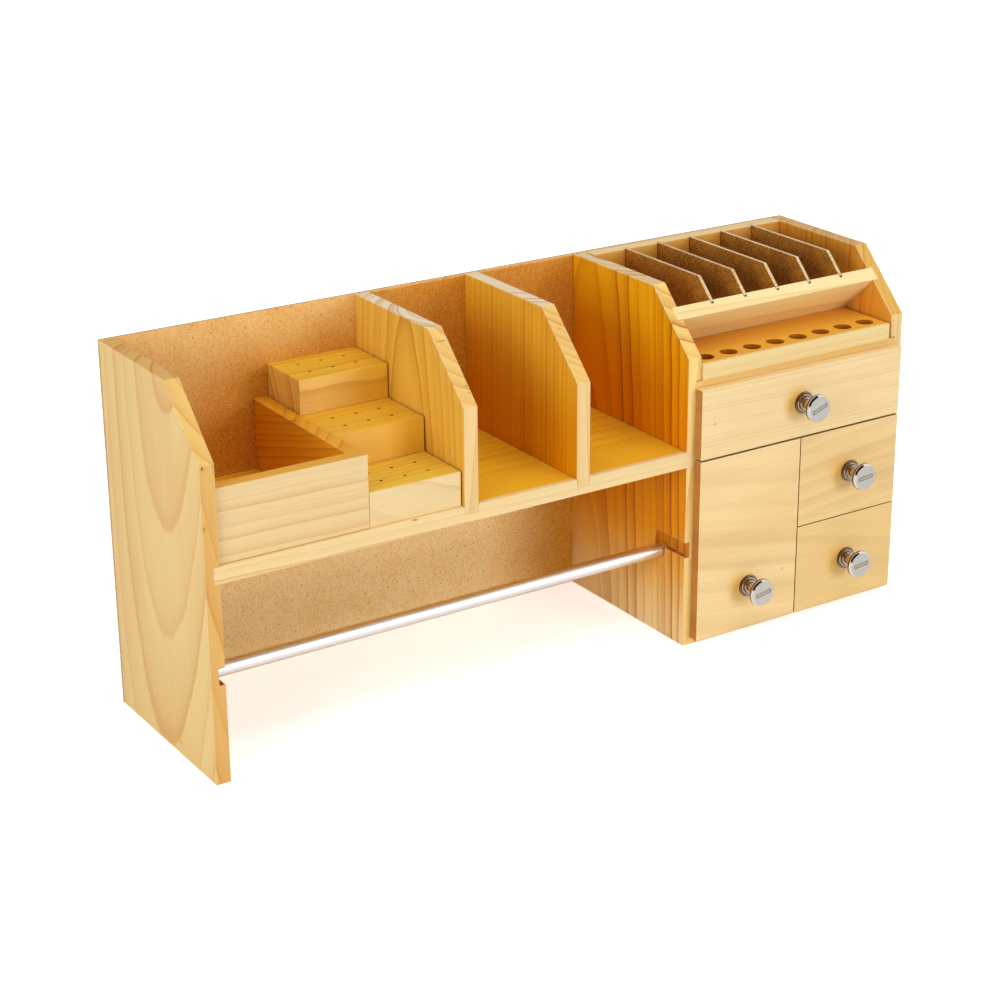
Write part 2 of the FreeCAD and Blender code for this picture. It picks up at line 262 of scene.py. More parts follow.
class ShaderKit:
    """The shader groups that more than one finish uses, each built once."""

    slope_run = 53 * MM
    # deep_reach, top_start, front_facing, front_start and wall_margin shape the painted amber shade inside
    # the bays.
    deep_reach = (10 * MM, 110 * MM)
    top_start = 0.4 * MM
    front_facing = (0.5, 0.9)
    front_start = 4.5 * MM
    wall_margin = (2 * MM, 4 * MM)
    ring_drifts = ((0.17, 1.3), (0.8, 0.35))
    shading_reach = (0.15, 0.95)
    shading_power = 1.5
    shading_on_ends = 0.1
    late_line = (0.78, 0.94)
    weakest_year = 0.25
    early_tint = 0.3
    fibre_stretch = (1.0, 1.0, 0.02)
    fibre_scale = 760.0
    pore_scale = 1500.0
    streak_tones = (0.965, 1.025)
    end_facing = (0.75, 0.95)
    slant_facing = (0.35, 0.65)
    late_on_ends = 2.2
    mat_noises = ((780.0, 2.0, 1.0), (40.0, 3.0, 2.0), (150.0, 2.0, 7.0))
    strand_rise = 0.12
    strand_kinds = (
        Strands(470.0, (1.6 * MM, 0.3 * MM), 0.1),
        Strands(400.0, (1.5 * MM, 0.26 * MM), 0.4, (0.31, 0.17, 0.0)),
        Strands(95.0, (0.75 * MM, 0.5 * MM), 0.62, (0.71, 0.47, 0.0)),
    )
    eye_reach = (0.6, 1.3)
    ring_reach = (0.8, 3.2)
    pale_end: Colour = (0.98, 0.86, 0.60)

    def __init__(self) -> None:
        """Builds the groups."""
        panel_low, panel_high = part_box("left_end_panel")
        self.front = panel_low.y
        self.top = panel_high.z
        self.inner_left = panel_high.x
        self.inner_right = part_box("right_end_panel")[0].x
        self.first_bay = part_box("bin_side")[0].x
        self.bay_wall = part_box("left_partition")[0].x
        self.cabinet_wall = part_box("cabinet_left_panel")[0].x
        self.slope_foot = panel_high.z - self.slope_run
        self.pine = self.pine_rings()
        # The painted amber shade inside the bays.
        self.tone = self.bay_painted_shade()
        self.knot = self.pin_knot()
        self.specks = self.pressed_fibre()
        self.arris = self.worn_and_highlit_arris()
        self.lines = self.drawn_lines()

    def pine_rings(self) -> Tree:
        """Growth rings about a leaning heart, so that faces, edges and ends of a board agree."""
        sketch, given, result = shader_group(
            "pine_rings",
            {
                "Place": (VECTOR, None), "Normal": (VECTOR, None), "Grain Axis": (VECTOR, None),
                "Ring Width": (FLOAT, 0.005), "Lean": (VECTOR, None), "Wander": (FLOAT, 0.005),
                "Ripple": (FLOAT, 0.001), "Late Strength": (FLOAT, 0.6), "Softness": (FLOAT, 0.05),
                "End Paleness": (FLOAT, 0.0), "Slant Colour": (COLOUR, None), "Seed": (FLOAT, 0.0),
                "Early Colour": (COLOUR, None), "Late Colour": (COLOUR, None),
                "Blush Colour": (COLOUR, None), "End Colour": (COLOUR, None), "Blush": (FLOAT, 0.5),
            },
            {"Colour": COLOUR, "Late": FLOAT, "Fibre": FLOAT, "End": FLOAT},
        )
        place = given["Place"]
        seed = given["Seed"]
        count = sketch.math("DIVIDE", self.heart_distance(sketch, given), given["Ring Width"])
        phase = count
        for pace, swing in self.ring_drifts:
            years = sketch.add(
                "ShaderNodeTexNoise", {"W": sketch.plus(count, seed), "Scale": pace, "Detail": 1.0},
                noise_dimensions="1D",
            )
            phase = sketch.plus(phase, sketch.times(years.outputs["Fac"], swing))
        part = sketch.math("FRACT", phase)
        year = sketch.plus(sketch.math("FLOOR", phase), seed)
        dice = sketch.add("ShaderNodeTexWhiteNoise", {"W": year}, noise_dimensions="1D")
        shading = sketch.math("POWER", sketch.spread(part, *self.shading_reach), self.shading_power)
        shading = sketch.times(shading, 0.5)
        line = sketch.spread(part, *self.late_line, 0.0, 0.5)
        drop = sketch.spread(part, sketch.minus(1.0, given["Softness"]), 1.0, 1.0, 0.0)
        facing = sketch.math("ABSOLUTE", sketch.dot(given["Normal"], given["Grain Axis"]))
        end = sketch.spread(facing, *self.end_facing)
        shading = sketch.times(shading, sketch.spread(end, 0.0, 1.0, 1.0, self.shading_on_ends))
        strength = sketch.spread(dice.outputs["Value"], 0.0, 1.0, self.weakest_year, 1.0)
        late = sketch.times(sketch.times(sketch.plus(shading, line), drop), strength)
        tinted = sketch.spread(sketch.parts(dice.outputs["Color"])["Y"], 0.35, 1.0, 0.0, self.early_tint)
        rise = sketch.times(sketch.spread(part, 0.0, 0.3), drop)
        late = sketch.plus(late, sketch.times(tinted, rise))
        late_share = sketch.times(late, given["Late Strength"])
        late_share = sketch.times(late_share, sketch.spread(end, 0.0, 1.0, 1.0, self.late_on_ends))
        late_share = sketch.math("MINIMUM", late_share, 1.0)
        fine = sketch.noise(sketch.stretched(place, self.fibre_stretch), self.fibre_scale, 2.0, seed)
        fibre = sketch.minus(fine.outputs["Fac"], 0.5)
        drift = sketch.noise(sketch.stretched(place, (1.0, 1.0, 0.25)), 18.0, 2.0, sketch.plus(seed, 5.0))
        blush = sketch.times(sketch.spread(drift.outputs["Fac"], 0.42, 0.7), given["Blush"])
        colour = sketch.blend(blush, given["Early Colour"], given["Blush Colour"])
        paleness = sketch.times(end, given["End Paleness"])
        colour = sketch.blend(paleness, colour, self.pale_end)
        colour = sketch.blend(late_share, colour, given["Late Colour"])
        slant = sketch.times(sketch.spread(facing, *self.slant_facing), sketch.minus(1.0, end))
        colour = sketch.blend(slant, colour, given["Slant Colour"], "MULTIPLY")
        pores = sketch.noise(place, self.pore_scale, 2.0, seed)
        pore = sketch.times(sketch.spread(pores.outputs["Fac"], 0.45, 0.7, 0.0, 0.45), end)
        colour = sketch.blend(end, colour, given["End Colour"], "MULTIPLY")
        colour = sketch.blend(pore, colour, given["End Colour"], "MULTIPLY")
        streak = sketch.spread(fibre, -0.25, 0.25, *self.streak_tones)
        grey = sketch.add("ShaderNodeCombineXYZ", {0: streak, 1: streak, 2: streak}).outputs[0]
        colour = sketch.blend(1.0, colour, grey, "MULTIPLY")
        sketch.fill(result, {"Colour": colour, "Late": late, "Fibre": fibre, "End": end})
        return sketch.tree

    def heart_distance(self, sketch: NodeSketch, given: Outputs) -> Socket:
        """How far a place is from the tree's heart, which leans and wanders.

        Args:
            sketch: the sketch of the ring group.
            given: what the group is given.

        Returns:
            The distance in metres.
        """
        place = given["Place"]
        seed = given["Seed"]
        slow = sketch.noise(sketch.stretched(place, (1.0, 1.0, 0.4)), 8.0, 1.0, seed)
        centred = sketch.vector("SUBTRACT", slow.outputs["Color"], (0.5, 0.5, 0.5))
        shift = sketch.scaled(centred, sketch.times(given["Wander"], 2.0))
        lean = sketch.scaled(given["Lean"], sketch.parts(place)["Z"])
        bent = sketch.vector("ADD", sketch.vector("SUBTRACT", place, lean), shift)
        radius = sketch.length(sketch.stretched(bent, (1.0, 1.0, 0.0)))
        quick = sketch.noise(sketch.stretched(place, (1.0, 1.0, 0.45)), 55.0, 1.0, seed)
        ripple = sketch.times(sketch.minus(quick.outputs["Fac"], 0.5), 2.0)
        return sketch.plus(radius, sketch.times(ripple, given["Ripple"]))

    def bay_painted_shade(self) -> Tree:
        """How far a place lies inside the bays, where the wood gets painted amber shade in place of the shade
        and bounced light there.
        """
        sketch, given, result = shader_group(
            "bay_painted_shade",
            {
                "Place": (VECTOR, None), "Normal": (VECTOR, None), "Start": (FLOAT, 0.0004),
                "Reach": (FLOAT, 0.0012), "Top Reach": (FLOAT, 0.0015), "Foot Start": (FLOAT, 0.0),
                "Foot": (FLOAT, 0.09), "Foot Tone": (FLOAT, 0.2), "Fade Start": (FLOAT, 0.0),
                "Fade End": (FLOAT, 0.001), "Fade Tone": (FLOAT, 1.0),
            },
            {"Tone": FLOAT, "Deep": FLOAT, "Front": FLOAT},
        )
        parts = sketch.parts(given["Place"])
        behind = sketch.minus(parts["Y"], self.front)
        above = sketch.minus(parts["Z"], self.slope_foot)
        slope = sketch.times(sketch.minus(behind, above), math.sqrt(0.5))
        depth = sketch.math("MINIMUM", behind, slope)
        forward = sketch.times(sketch.parts(given["Normal"])["Y"], -1.0)
        faced = sketch.spread(forward, *self.front_facing)
        start = sketch.spread(forward, *self.front_facing, given["Start"], self.front_start)
        deep = sketch.spread(depth, start, sketch.plus(start, given["Reach"]))
        under_top = sketch.minus(self.top, parts["Z"])
        low = sketch.spread(under_top, self.top_start, given["Top Reach"])
        near, far = self.wall_margin
        left = sketch.spread(parts["X"], self.inner_left - far, self.inner_left - near)
        right = sketch.spread(parts["X"], self.inner_right + near, self.inner_right + far, 1.0, 0.0)
        # Below Foot the painted shade eases to Foot Tone, so lower parts are lighter.
        foot = sketch.spread(parts["Z"], given["Foot Start"], given["Foot"], given["Foot Tone"], 1.0)
        tone = sketch.times(sketch.times(deep, low), foot)
        tone = sketch.times(sketch.times(left, right), tone)
        # On front faces the painted shade is weaker towards lower X, by Fade Tone, and full from Fade End on.
        fade = sketch.spread(parts["X"], given["Fade Start"], given["Fade End"], given["Fade Tone"], 1.0)
        fade = sketch.plus(1.0, sketch.times(faced, sketch.minus(fade, 1.0)))
        tone = sketch.times(tone, fade)
        # Deep: painted shade that grows further down from the top.
        depth = sketch.spread(under_top, *self.deep_reach)
        sketch.fill(result, {"Front": faced, "Tone": tone, "Deep": sketch.times(tone, depth)})
        return sketch.tree

    def pin_knot(self) -> Tree:
        """One small knot or mark: a dark eye and a soft ring about it."""
        sketch, given, result = shader_group(
            "pin_knot",
            {
                "Place": (VECTOR, None), "Middle": (VECTOR, None), "Radius": (FLOAT, 2 * MM),
                "Stretch": (VECTOR, EVEN),
            },
            {"Eye": FLOAT, "Ring": FLOAT},
        )
        away = sketch.vector("SUBTRACT", given["Place"], given["Middle"])
        length = sketch.length(sketch.stretched(away, given["Stretch"]))
        ragged = sketch.noise(given["Place"], 900.0, 1.0)
        share = sketch.math("DIVIDE", length, given["Radius"])
        share = sketch.plus(share, sketch.times(ragged.outputs["Fac"], 0.5))
        eye, ring = (sketch.spread(share, *reach, 1.0, 0.0) for reach in (self.eye_reach, self.ring_reach))
        sketch.fill(result, {"Eye": eye, "Ring": ring})
        return sketch.tree

    def pressed_fibre(self) -> Tree:
        """Hardboard's mat of fibres: mottle, and pale and dark strands that lie every way."""
        sketch, given, result = shader_group(
            "pressed_fibre", {"Place": (VECTOR, None), "Flat": (VECTOR, None), "Flecks": (FLOAT, 1.0)},
            {"Mottle": FLOAT, "Fleck": FLOAT, "Hair": FLOAT, "Height": FLOAT},
        )
        place = given["Place"]
        mottle, cloud, patch = (sketch.noise(place, *look) for look in self.mat_noises)
        flat = given["Flat"]
        pale, dark, speck = (self.strands(sketch, flat, kind) for kind in self.strand_kinds)
        hair = sketch.times(pale, sketch.spread(patch.outputs["Fac"], 0.35, 0.6, 0.35, 1.0))
        fleck = sketch.math("MAXIMUM", sketch.times(dark, 0.5), speck)
        fleck = sketch.times(fleck, given["Flecks"])
        both = sketch.plus(sketch.times(mottle.outputs["Fac"], 0.6), sketch.times(cloud.outputs["Fac"], 0.4))
        height = sketch.plus(both, sketch.times(hair, self.strand_rise))
        height = sketch.minus(height, sketch.times(fleck, self.strand_rise))
        sketch.fill(result, {"Mottle": both, "Fleck": fleck, "Hair": hair, "Height": height})
        return sketch.tree

    def strands(self, sketch: NodeSketch, flat: Value, kind: Strands) -> Socket:
        """Short straight strands, one to a cell, each turned its own way.

        Args:
            sketch: the sketch to add them to.
            flat: the place on the sheet, in its own plane.
            kind: how large and how many they are.

        Returns:
            A mask that is 1 on a strand.
        """
        flat = sketch.vector("ADD", flat, kind.shift)
        inputs = {"Vector": flat, "Scale": kind.scale, "Randomness": 1.0}
        cells = sketch.add("ShaderNodeTexVoronoi", inputs, voronoi_dimensions="2D")
        chance = sketch.parts(cells.outputs["Color"])
        away = sketch.vector("SUBTRACT", flat, cells.outputs["Position"])
        angle = sketch.times(chance["X"], 2 * math.pi)
        cosine, sine = sketch.math("COSINE", angle), sketch.math("SINE", angle)
        back = sketch.times(sine, -1.0)
        lengthwise = sketch.add("ShaderNodeCombineXYZ", {0: cosine, 1: sine}).outputs[0]
        sideways = sketch.add("ShaderNodeCombineXYZ", {0: back, 1: cosine}).outputs[0]
        shares = [
            sketch.math("DIVIDE", sketch.math("ABSOLUTE", sketch.dot(away, way)), half)
            for way, half in zip((lengthwise, sideways), kind.half)
        ]
        inside = sketch.spread(sketch.math("MAXIMUM", *shares), 0.6, 1.1, 1.0, 0.0)
        return sketch.times(inside, sketch.spread(chance["Y"], kind.spared, kind.spared + 0.1))

    def worn_and_highlit_arris(self) -> Tree:
        """Wear and a painted highlight along eased edges: broken up by noise, so that it comes and goes."""
        sketch, given, result = shader_group(
            "worn_and_highlit_arris", {"Place": (VECTOR, None), "Edge": (FLOAT, 0.0), "Amount": (FLOAT, 0.3)},
            {"Wear": FLOAT},
        )
        broken = sketch.noise(given["Place"], 110.0, 2.0, 3.0)
        share = sketch.spread(broken.outputs["Fac"], 0.3, 0.6, 0.45, 1.0)
        sketch.fill(result, {"Wear": sketch.times(sketch.times(given["Edge"], share), given["Amount"])})
        return sketch.tree

    def drawn_lines(self) -> Tree:
        """Fine lines left on metal by a die or a lathe tool, along one direction of a place."""
        sketch, given, result = shader_group(
            "drawn_lines",
            {"Place": (VECTOR, None), "Spread": (VECTOR, EVEN), "Scale": (FLOAT, 900.0)},
            {"Line": FLOAT, "Smudge": FLOAT},
        )
        place = sketch.stretched(given["Place"], given["Spread"])
        line = sketch.add("ShaderNodeTexNoise", {"Vector": place, "Scale": given["Scale"], "Detail": 3.0})
        smudge = sketch.noise(given["Place"], 60.0, 3.0, 9.0)
        sketch.fill(result, {"Line": line.outputs["Fac"], "Smudge": smudge.outputs["Fac"]})
        return sketch.tree


def new_material(name: str) -> tuple[Material, NodeSketch, Node]:
    """Starts a material.

    Args:
        name: the finish's name.

    Returns:
        The material, its sketch and its Principled shader.
    """
    material = bpy.data.materials.new(name)
    material.use_nodes = True
    material.node_tree.nodes.clear()
    sketch = NodeSketch(material.node_tree)
    shader = sketch.add("ShaderNodeBsdfPrincipled")
    sketch.add("ShaderNodeOutputMaterial", {"Surface": shader.outputs[0]})
    return material, sketch, shader


@dataclass(frozen=True)
class Knot:
    """A small knot or mark on a board: its middle and radius in millimetres, and how it is squeezed."""

    middle: Place
    radius: float
    stretch: Place = EVEN
    halo: float = 0.4
    colour: Colour = (0.26, 0.12, 0.03)
    eye: float = 1.0
    halo_colour: Optional[Colour] = None


@dataclass(frozen=True)
class PineFinish:
    """Planed pine: where the tree's heart lay about the board, in millimetres, and how its rings look."""

    run: GrainRun = GrainRun.UPRIGHT
    heart: tuple[float, float] = (60.0, 10.0)
    ring: float = 5.0
    lean: tuple[float, float] = (0.03, 0.0)
    wander: float = 4.0
    ripple: float = 0.7
    late: float = 0.6
    seed: float = 1.0
    blush: float = 0.3
    softness: float = 0.05
    end_paleness: float = 0.0
    early_colour: Colour = (0.89, 0.63, 0.28)
    late_colour: Colour = (0.64, 0.33, 0.09)
    blush_colour: Colour = (0.86, 0.57, 0.25)
    end_colour: Colour = (0.84, 0.74, 0.62)
    # bay_shade_colour, deep_shade_colour, end_tone, tone_start, foot, foot_tone, fade and fade_tone shape the
    # painted amber shade inside the bays.
    bay_shade_colour: Colour = (0.86, 0.62, 0.10)
    deep_shade_colour: Colour = WHITE
    slant_colour: Colour = (0.95, 0.86, 0.58)
    front_colour: Optional[Colour] = None
    end_tone: float = 1.0
    tone_start: float = 0.4
    foot: float = 0.09
    foot_tone: float = 0.2
    fade: tuple[float, float] = (0.0, 0.001)
    fade_tone: float = 1.0
    edge_wear_and_highlight_colour: Colour = (0.93, 0.72, 0.38)
    seam_dirt_and_shadow_colour: Colour = (0.20, 0.10, 0.02)
    hole_shade_colour: Optional[Colour] = None
    knots: tuple[Knot, ...] = ()

    def material(self, kit: ShaderKit, name: str, middle: Vector) -> Material:
        """Builds the material for one board.

        Args:
            kit: the shared shader groups.
            name: the material's name.
            middle: the middle of the board, from which the heart is measured.

        Returns:
            The finished material.
        """
        material, sketch, shader = new_material(name)
        coordinates = sketch.add("ShaderNodeTexCoord")
        place = coordinates.outputs["Object"]
        heart = Vector((self.heart[0] * MM, self.heart[1] * MM, 0.0))
        start = -self.run.turned(middle) - heart
        moves = {"Vector": place, "Rotation": self.run.turn, "Location": start}
        grain = sketch.add("ShaderNodeMapping", moves).outputs[0]
        rings = sketch.group(kit.pine, {
            "Place": grain, "Normal": coordinates.outputs["Normal"], "Grain Axis": self.run.axis,
            "Ring Width": self.ring * MM, "Lean": (*self.lean, 0.0), "Wander": self.wander * MM,
            "Ripple": self.ripple * MM, "Late Strength": self.late, "Softness": self.softness,
            "End Paleness": self.end_paleness, "Slant Colour": self.slant_colour, "Seed": self.seed,
            "Early Colour": self.early_colour, "Late Colour": self.late_colour,
            "Blush Colour": self.blush_colour, "End Colour": self.end_colour, "Blush": self.blush,
        })
        colour = self.marked(kit, sketch, place, rings["Colour"])
        # Painted shade: the bays' amber shade multiplies the colour. end_tone scales it on ends, and
        # deep_shade_colour deepens it further down.
        tone = sketch.group(kit.tone, {
            "Place": place, "Normal": coordinates.outputs["Normal"], "Start": self.tone_start * MM,
            "Foot": self.foot, "Foot Tone": self.foot_tone, "Fade Start": self.fade[0],
            "Fade End": self.fade[1], "Fade Tone": self.fade_tone,
        })
        share = sketch.times(sketch.spread(rings["End"], 0.0, 1.0, 1.0, self.end_tone), tone["Tone"])
        colour = sketch.blend(share, colour, self.bay_shade_colour, "MULTIPLY")
        colour = sketch.blend(tone["Deep"], colour, self.deep_shade_colour, "MULTIPLY")
        if self.front_colour:
            colour = sketch.blend(tone["Front"], colour, self.front_colour, "MULTIPLY")
        # Eased edges get a paler colour: wear and a painted highlight.
        arris_wear_and_highlight = sketch.group(kit.arris, {"Place": place, "Edge": sketch.mark("arris")})
        colour = sketch.blend(arris_wear_and_highlight["Wear"], colour, self.edge_wear_and_highlight_colour)
        # Rounds in joints darken: dirt and painted contact shadow.
        colour = sketch.blend(sketch.mark("seam"), colour, self.seam_dirt_and_shadow_colour)
        # Painted shade on the walls and floors of holes and slots.
        if self.hole_shade_colour:
            colour = sketch.blend(sketch.mark("hollow"), colour, self.hole_shade_colour, "MULTIPLY")
        rough = sketch.spread(rings["Late"], 0.0, 1.0, 0.5, 0.42)
        rough = sketch.plus(rough, sketch.times(rings["End"], 0.2))
        height = sketch.plus(rings["Fibre"], sketch.times(rings["Late"], 0.6))
        sketch.fill(shader, {
            "Base Color": colour, "Roughness": rough, "Normal": sketch.bump(height, 0.22),
            "Specular IOR Level": 0.35,
        })
        return material

    def marked(self, kit: ShaderKit, sketch: NodeSketch, place: Socket, colour: Socket) -> Socket:
        """Adds the board's knots and marks to its colour.

        Args:
            kit: the shared shader groups.
            sketch: the material's sketch.
            place: object coordinates.
            colour: the colour of the clear wood.

        Returns:
            The colour with the knots.
        """
        for knot in self.knots:
            mark = sketch.group(kit.knot, {
                "Place": place, "Middle": tuple(coordinate * MM for coordinate in knot.middle),
                "Radius": knot.radius * MM, "Stretch": knot.stretch,
            })
            halo = sketch.times(mark["Ring"], knot.halo)
            colour = sketch.blend(halo, colour, knot.halo_colour or self.late_colour)
            colour = sketch.blend(sketch.times(mark["Eye"], knot.eye), colour, knot.colour)
        return colour


class BoardFace(Enum):
    """The faces of a hardboard sheet, which look different."""

    SMOOTH = "smooth"
    SCREEN = "screen"
    SAWN = "sawn"


@dataclass(frozen=True)
class HardboardFinish:
    """Pressed hardboard: colours of its mat, its flecks and its hairs, and the look of one face."""

    face: BoardFace = BoardFace.SMOOTH
    plane: str = "XZ"
    base: Colour = (1.0, 0.75, 0.36)
    dark: Colour = (0.93, 0.61, 0.24)
    fleck: Colour = (0.36, 0.13, 0.015)
    hair: Colour = (1.0, 0.88, 0.54)
    # upper_shade_colour, bay_shade_colour, the reaches, the foot fields and hair_tone shape painted shade on
    # the front: amber in the bays, darker above the shelf, and under the shelf only towards the cabinet.
    upper_shade_colour: Colour = (0.89, 0.75, 0.52)
    bay_shade_colour: Colour = (0.76, 0.49, 0.025)
    top_reach: float = 0.003
    left_reach: float = 0.20
    bin_reach: float = 0.06
    foot_start: float = 0.165
    foot: float = 0.19
    foot_tone: float = 0.0
    foot_tone_right: float = 1.0
    foot_fade: float = 0.11
    flecks: float = 1.0
    fleck_share: float = 0.85
    hair_tone: float = 0.6
    weave: float = 1.5 * MM
    roughness: float = 0.55

    def material(self, kit: ShaderKit, name: str) -> Material:
        """Builds the material of this face.

        Args:
            kit: the shared shader groups.
            name: the material's name.

        Returns:
            The finished material.
        """
        material, sketch, shader = new_material(name)
        coordinates = sketch.add("ShaderNodeTexCoord")
        place = coordinates.outputs["Object"]
        parts = sketch.parts(place)
        across, up = self.plane
        flat = sketch.add("ShaderNodeCombineXYZ", {0: parts[across], 1: parts[up]}).outputs[0]
        mat = sketch.group(kit.specks, {"Place": place, "Flat": flat, "Flecks": self.flecks})
        colour = sketch.blend(sketch.spread(mat["Mottle"], 0.38, 0.62), self.dark, self.base)
        height = mat["Height"]
        if self.face is BoardFace.SCREEN:
            colour, height = self.screen(sketch, parts, colour, height)
        if self.face is BoardFace.SAWN:
            layers = sketch.noise(place, 1300.0, 2.0, 4.0)
            layer = sketch.spread(layers.outputs["Fac"], 0.42, 0.6, 0.0, 0.6)
            colour = sketch.blend(layer, colour, self.hair)
        # Painted shade: how far below the top the bays' amber shade takes to build up. It builds slowly by
        # the left panel, quickly by the bin and at once past the partition.
        reach = sketch.spread(parts["X"], kit.inner_left, kit.first_bay, self.left_reach, self.bin_reach)
        reach = sketch.spread(parts["X"], kit.bay_wall, kit.bay_wall + MM, reach, self.top_reach)
        fade = (kit.cabinet_wall - self.foot_fade, kit.cabinet_wall)
        foot_tone = sketch.spread(parts["X"], *fade, self.foot_tone, self.foot_tone_right)
        tone = sketch.group(kit.tone, {
            "Place": place, "Normal": coordinates.outputs["Normal"], "Top Reach": reach,
            "Foot Start": self.foot_start, "Foot": self.foot, "Foot Tone": foot_tone,
        })["Tone"]
        colour = sketch.blend(tone, colour, self.bay_shade_colour, "MULTIPLY")
        hair = sketch.blend(sketch.times(tone, self.hair_tone), self.hair, self.bay_shade_colour, "MULTIPLY")
        colour = sketch.blend(mat["Hair"], colour, hair)
        colour = sketch.blend(sketch.times(mat["Fleck"], self.fleck_share), colour, self.fleck)
        # Painted shade: the sheet above the shelf is darker.
        above = sketch.spread(parts["Z"], self.foot_start, self.foot)
        colour = sketch.blend(above, colour, self.upper_shade_colour, "MULTIPLY")
        rough = sketch.spread(mat["Mottle"], 0.3, 0.7, self.roughness + 0.1, self.roughness)
        normal = sketch.bump(height, 0.4, 0.3 * MM)
        sketch.fill(shader, {"Base Color": colour, "Roughness": rough, "Normal": normal})
        return material

    def screen(
        self, sketch: NodeSketch, parts: Outputs, colour: Socket, height: Socket
    ) -> tuple[Socket, Socket]:
        """Adds the woven print that the press screen leaves on the rough back.

        Args:
            sketch: the material's sketch.
            parts: the X, Y and Z of the object coordinates.
            colour: the mat's colour.
            height: the mat's height.

        Returns:
            The colour and the height with the print.
        """
        pace = 2 * math.pi / self.weave
        rows = [sketch.math("SINE", sketch.times(parts[axis], pace)) for axis in ("X", "Z")]
        weave = sketch.spread(sketch.times(*rows), -1.0, 1.0)
        colour = sketch.blend(sketch.times(weave, 0.35), colour, self.dark)
        return colour, sketch.plus(height, sketch.times(weave, 0.8))


@dataclass(frozen=True)
class MetalFinish:
    """Bare metal with tool lines along the piece's own lines of work."""

    base: Colour = (0.83, 0.81, 0.78)
    shade: Colour = (0.55, 0.50, 0.44)
    roughness: float = 0.14
    spread: Place = (0.0, 1.0, 0.0)
    scale: float = 2500.0
    line_depth: float = 0.05
    on_surface: bool = False
    # On turned pieces: partly patina, partly painted shade and wood reflection near the drawer face, and
    # painted dark reflection lines at the outline's corners and the rim.
    patina_and_shade: Colour = (0.36, 0.20, 0.08)
    dark_ring_colour: Colour = (0.05, 0.03, 0.015)
    patina_and_shade_reach: tuple[float, float] = (19 * MM, 38 * MM)
    dark_rings: tuple[float, ...] = ()
    dark_ring_half: float = 0.35 * MM

    def material(self, kit: ShaderKit, name: str) -> Material:
        """Builds the metal.

        Args:
            kit: the shared shader groups.
            name: the material's name.

        Returns:
            The finished material.
        """
        material, sketch, shader = new_material(name)
        if self.on_surface:
            place = sketch.add("ShaderNodeUVMap", uv_map="turning").outputs[0]
        else:
            place = sketch.add("ShaderNodeTexCoord").outputs["Object"]
        lines = sketch.group(kit.lines, {"Place": place, "Spread": self.spread, "Scale": self.scale})
        dull = sketch.spread(lines["Smudge"], 0.45, 0.75, 0.0, 0.25)
        dull = sketch.plus(dull, sketch.spread(lines["Line"], 0.5, 0.8, 0.0, 0.3))
        colour = sketch.blend(dull, self.base, self.shade)
        if self.on_surface:
            # Partly patina, partly painted shade and wood reflection near the drawer face.
            along = sketch.parts(place)["Y"]
            colour = sketch.blend(sketch.spread(along, *self.patina_and_shade_reach, 0.6, 0.0), colour, self.patina_and_shade)
            # Painted dark reflection lines at the outline's corners and the rim.
            for groove in self.dark_rings:
                away = sketch.math("ABSOLUTE", sketch.minus(along, groove))
                cut = sketch.spread(away, self.dark_ring_half, 2 * self.dark_ring_half, 1.0, 0.0)
                colour = sketch.blend(cut, colour, self.dark_ring_colour)
        rough = sketch.spread(lines["Line"], 0.3, 0.7, self.roughness, self.roughness * 1.6)
        normal = sketch.bump(lines["Line"], self.line_depth)
        sketch.fill(shader, {"Base Color": colour, "Metallic": 1.0, "Roughness": rough, "Normal": normal})
        return material


def plain_mesh(piece: Piece) -> Piece:
    """Turns a piece with modifiers into a plain mesh and removes them.

    Args:
        piece: the piece with its modifiers.

    Returns:
        The same piece, with the result as its mesh.
    """
    bpy.context.view_layer.update()
    depsgraph = bpy.context.evaluated_depsgraph_get()
    evaluated = piece.evaluated_get(depsgraph)
    mesh = bpy.data.meshes.new_from_object(evaluated, preserve_all_data_layers=True, depsgraph=depsgraph)
    piece.modifiers.clear()
    piece.data = mesh
    return piece


def worked_mesh(name: str, work: bmesh.types.BMesh) -> Mesh:
    """Makes a mesh of what bmesh has worked out, and frees the work."""
    mesh = bpy.data.meshes.new(name)
    work.to_mesh(mesh)
    work.free()
    return mesh


def mesh_piece(name: str, mesh: Mesh) -> Piece:
    """Makes an object of a mesh, at the origin."""
    piece = bpy.data.objects.new(name, mesh)
    bpy.context.scene.collection.objects.link(piece)
    return piece


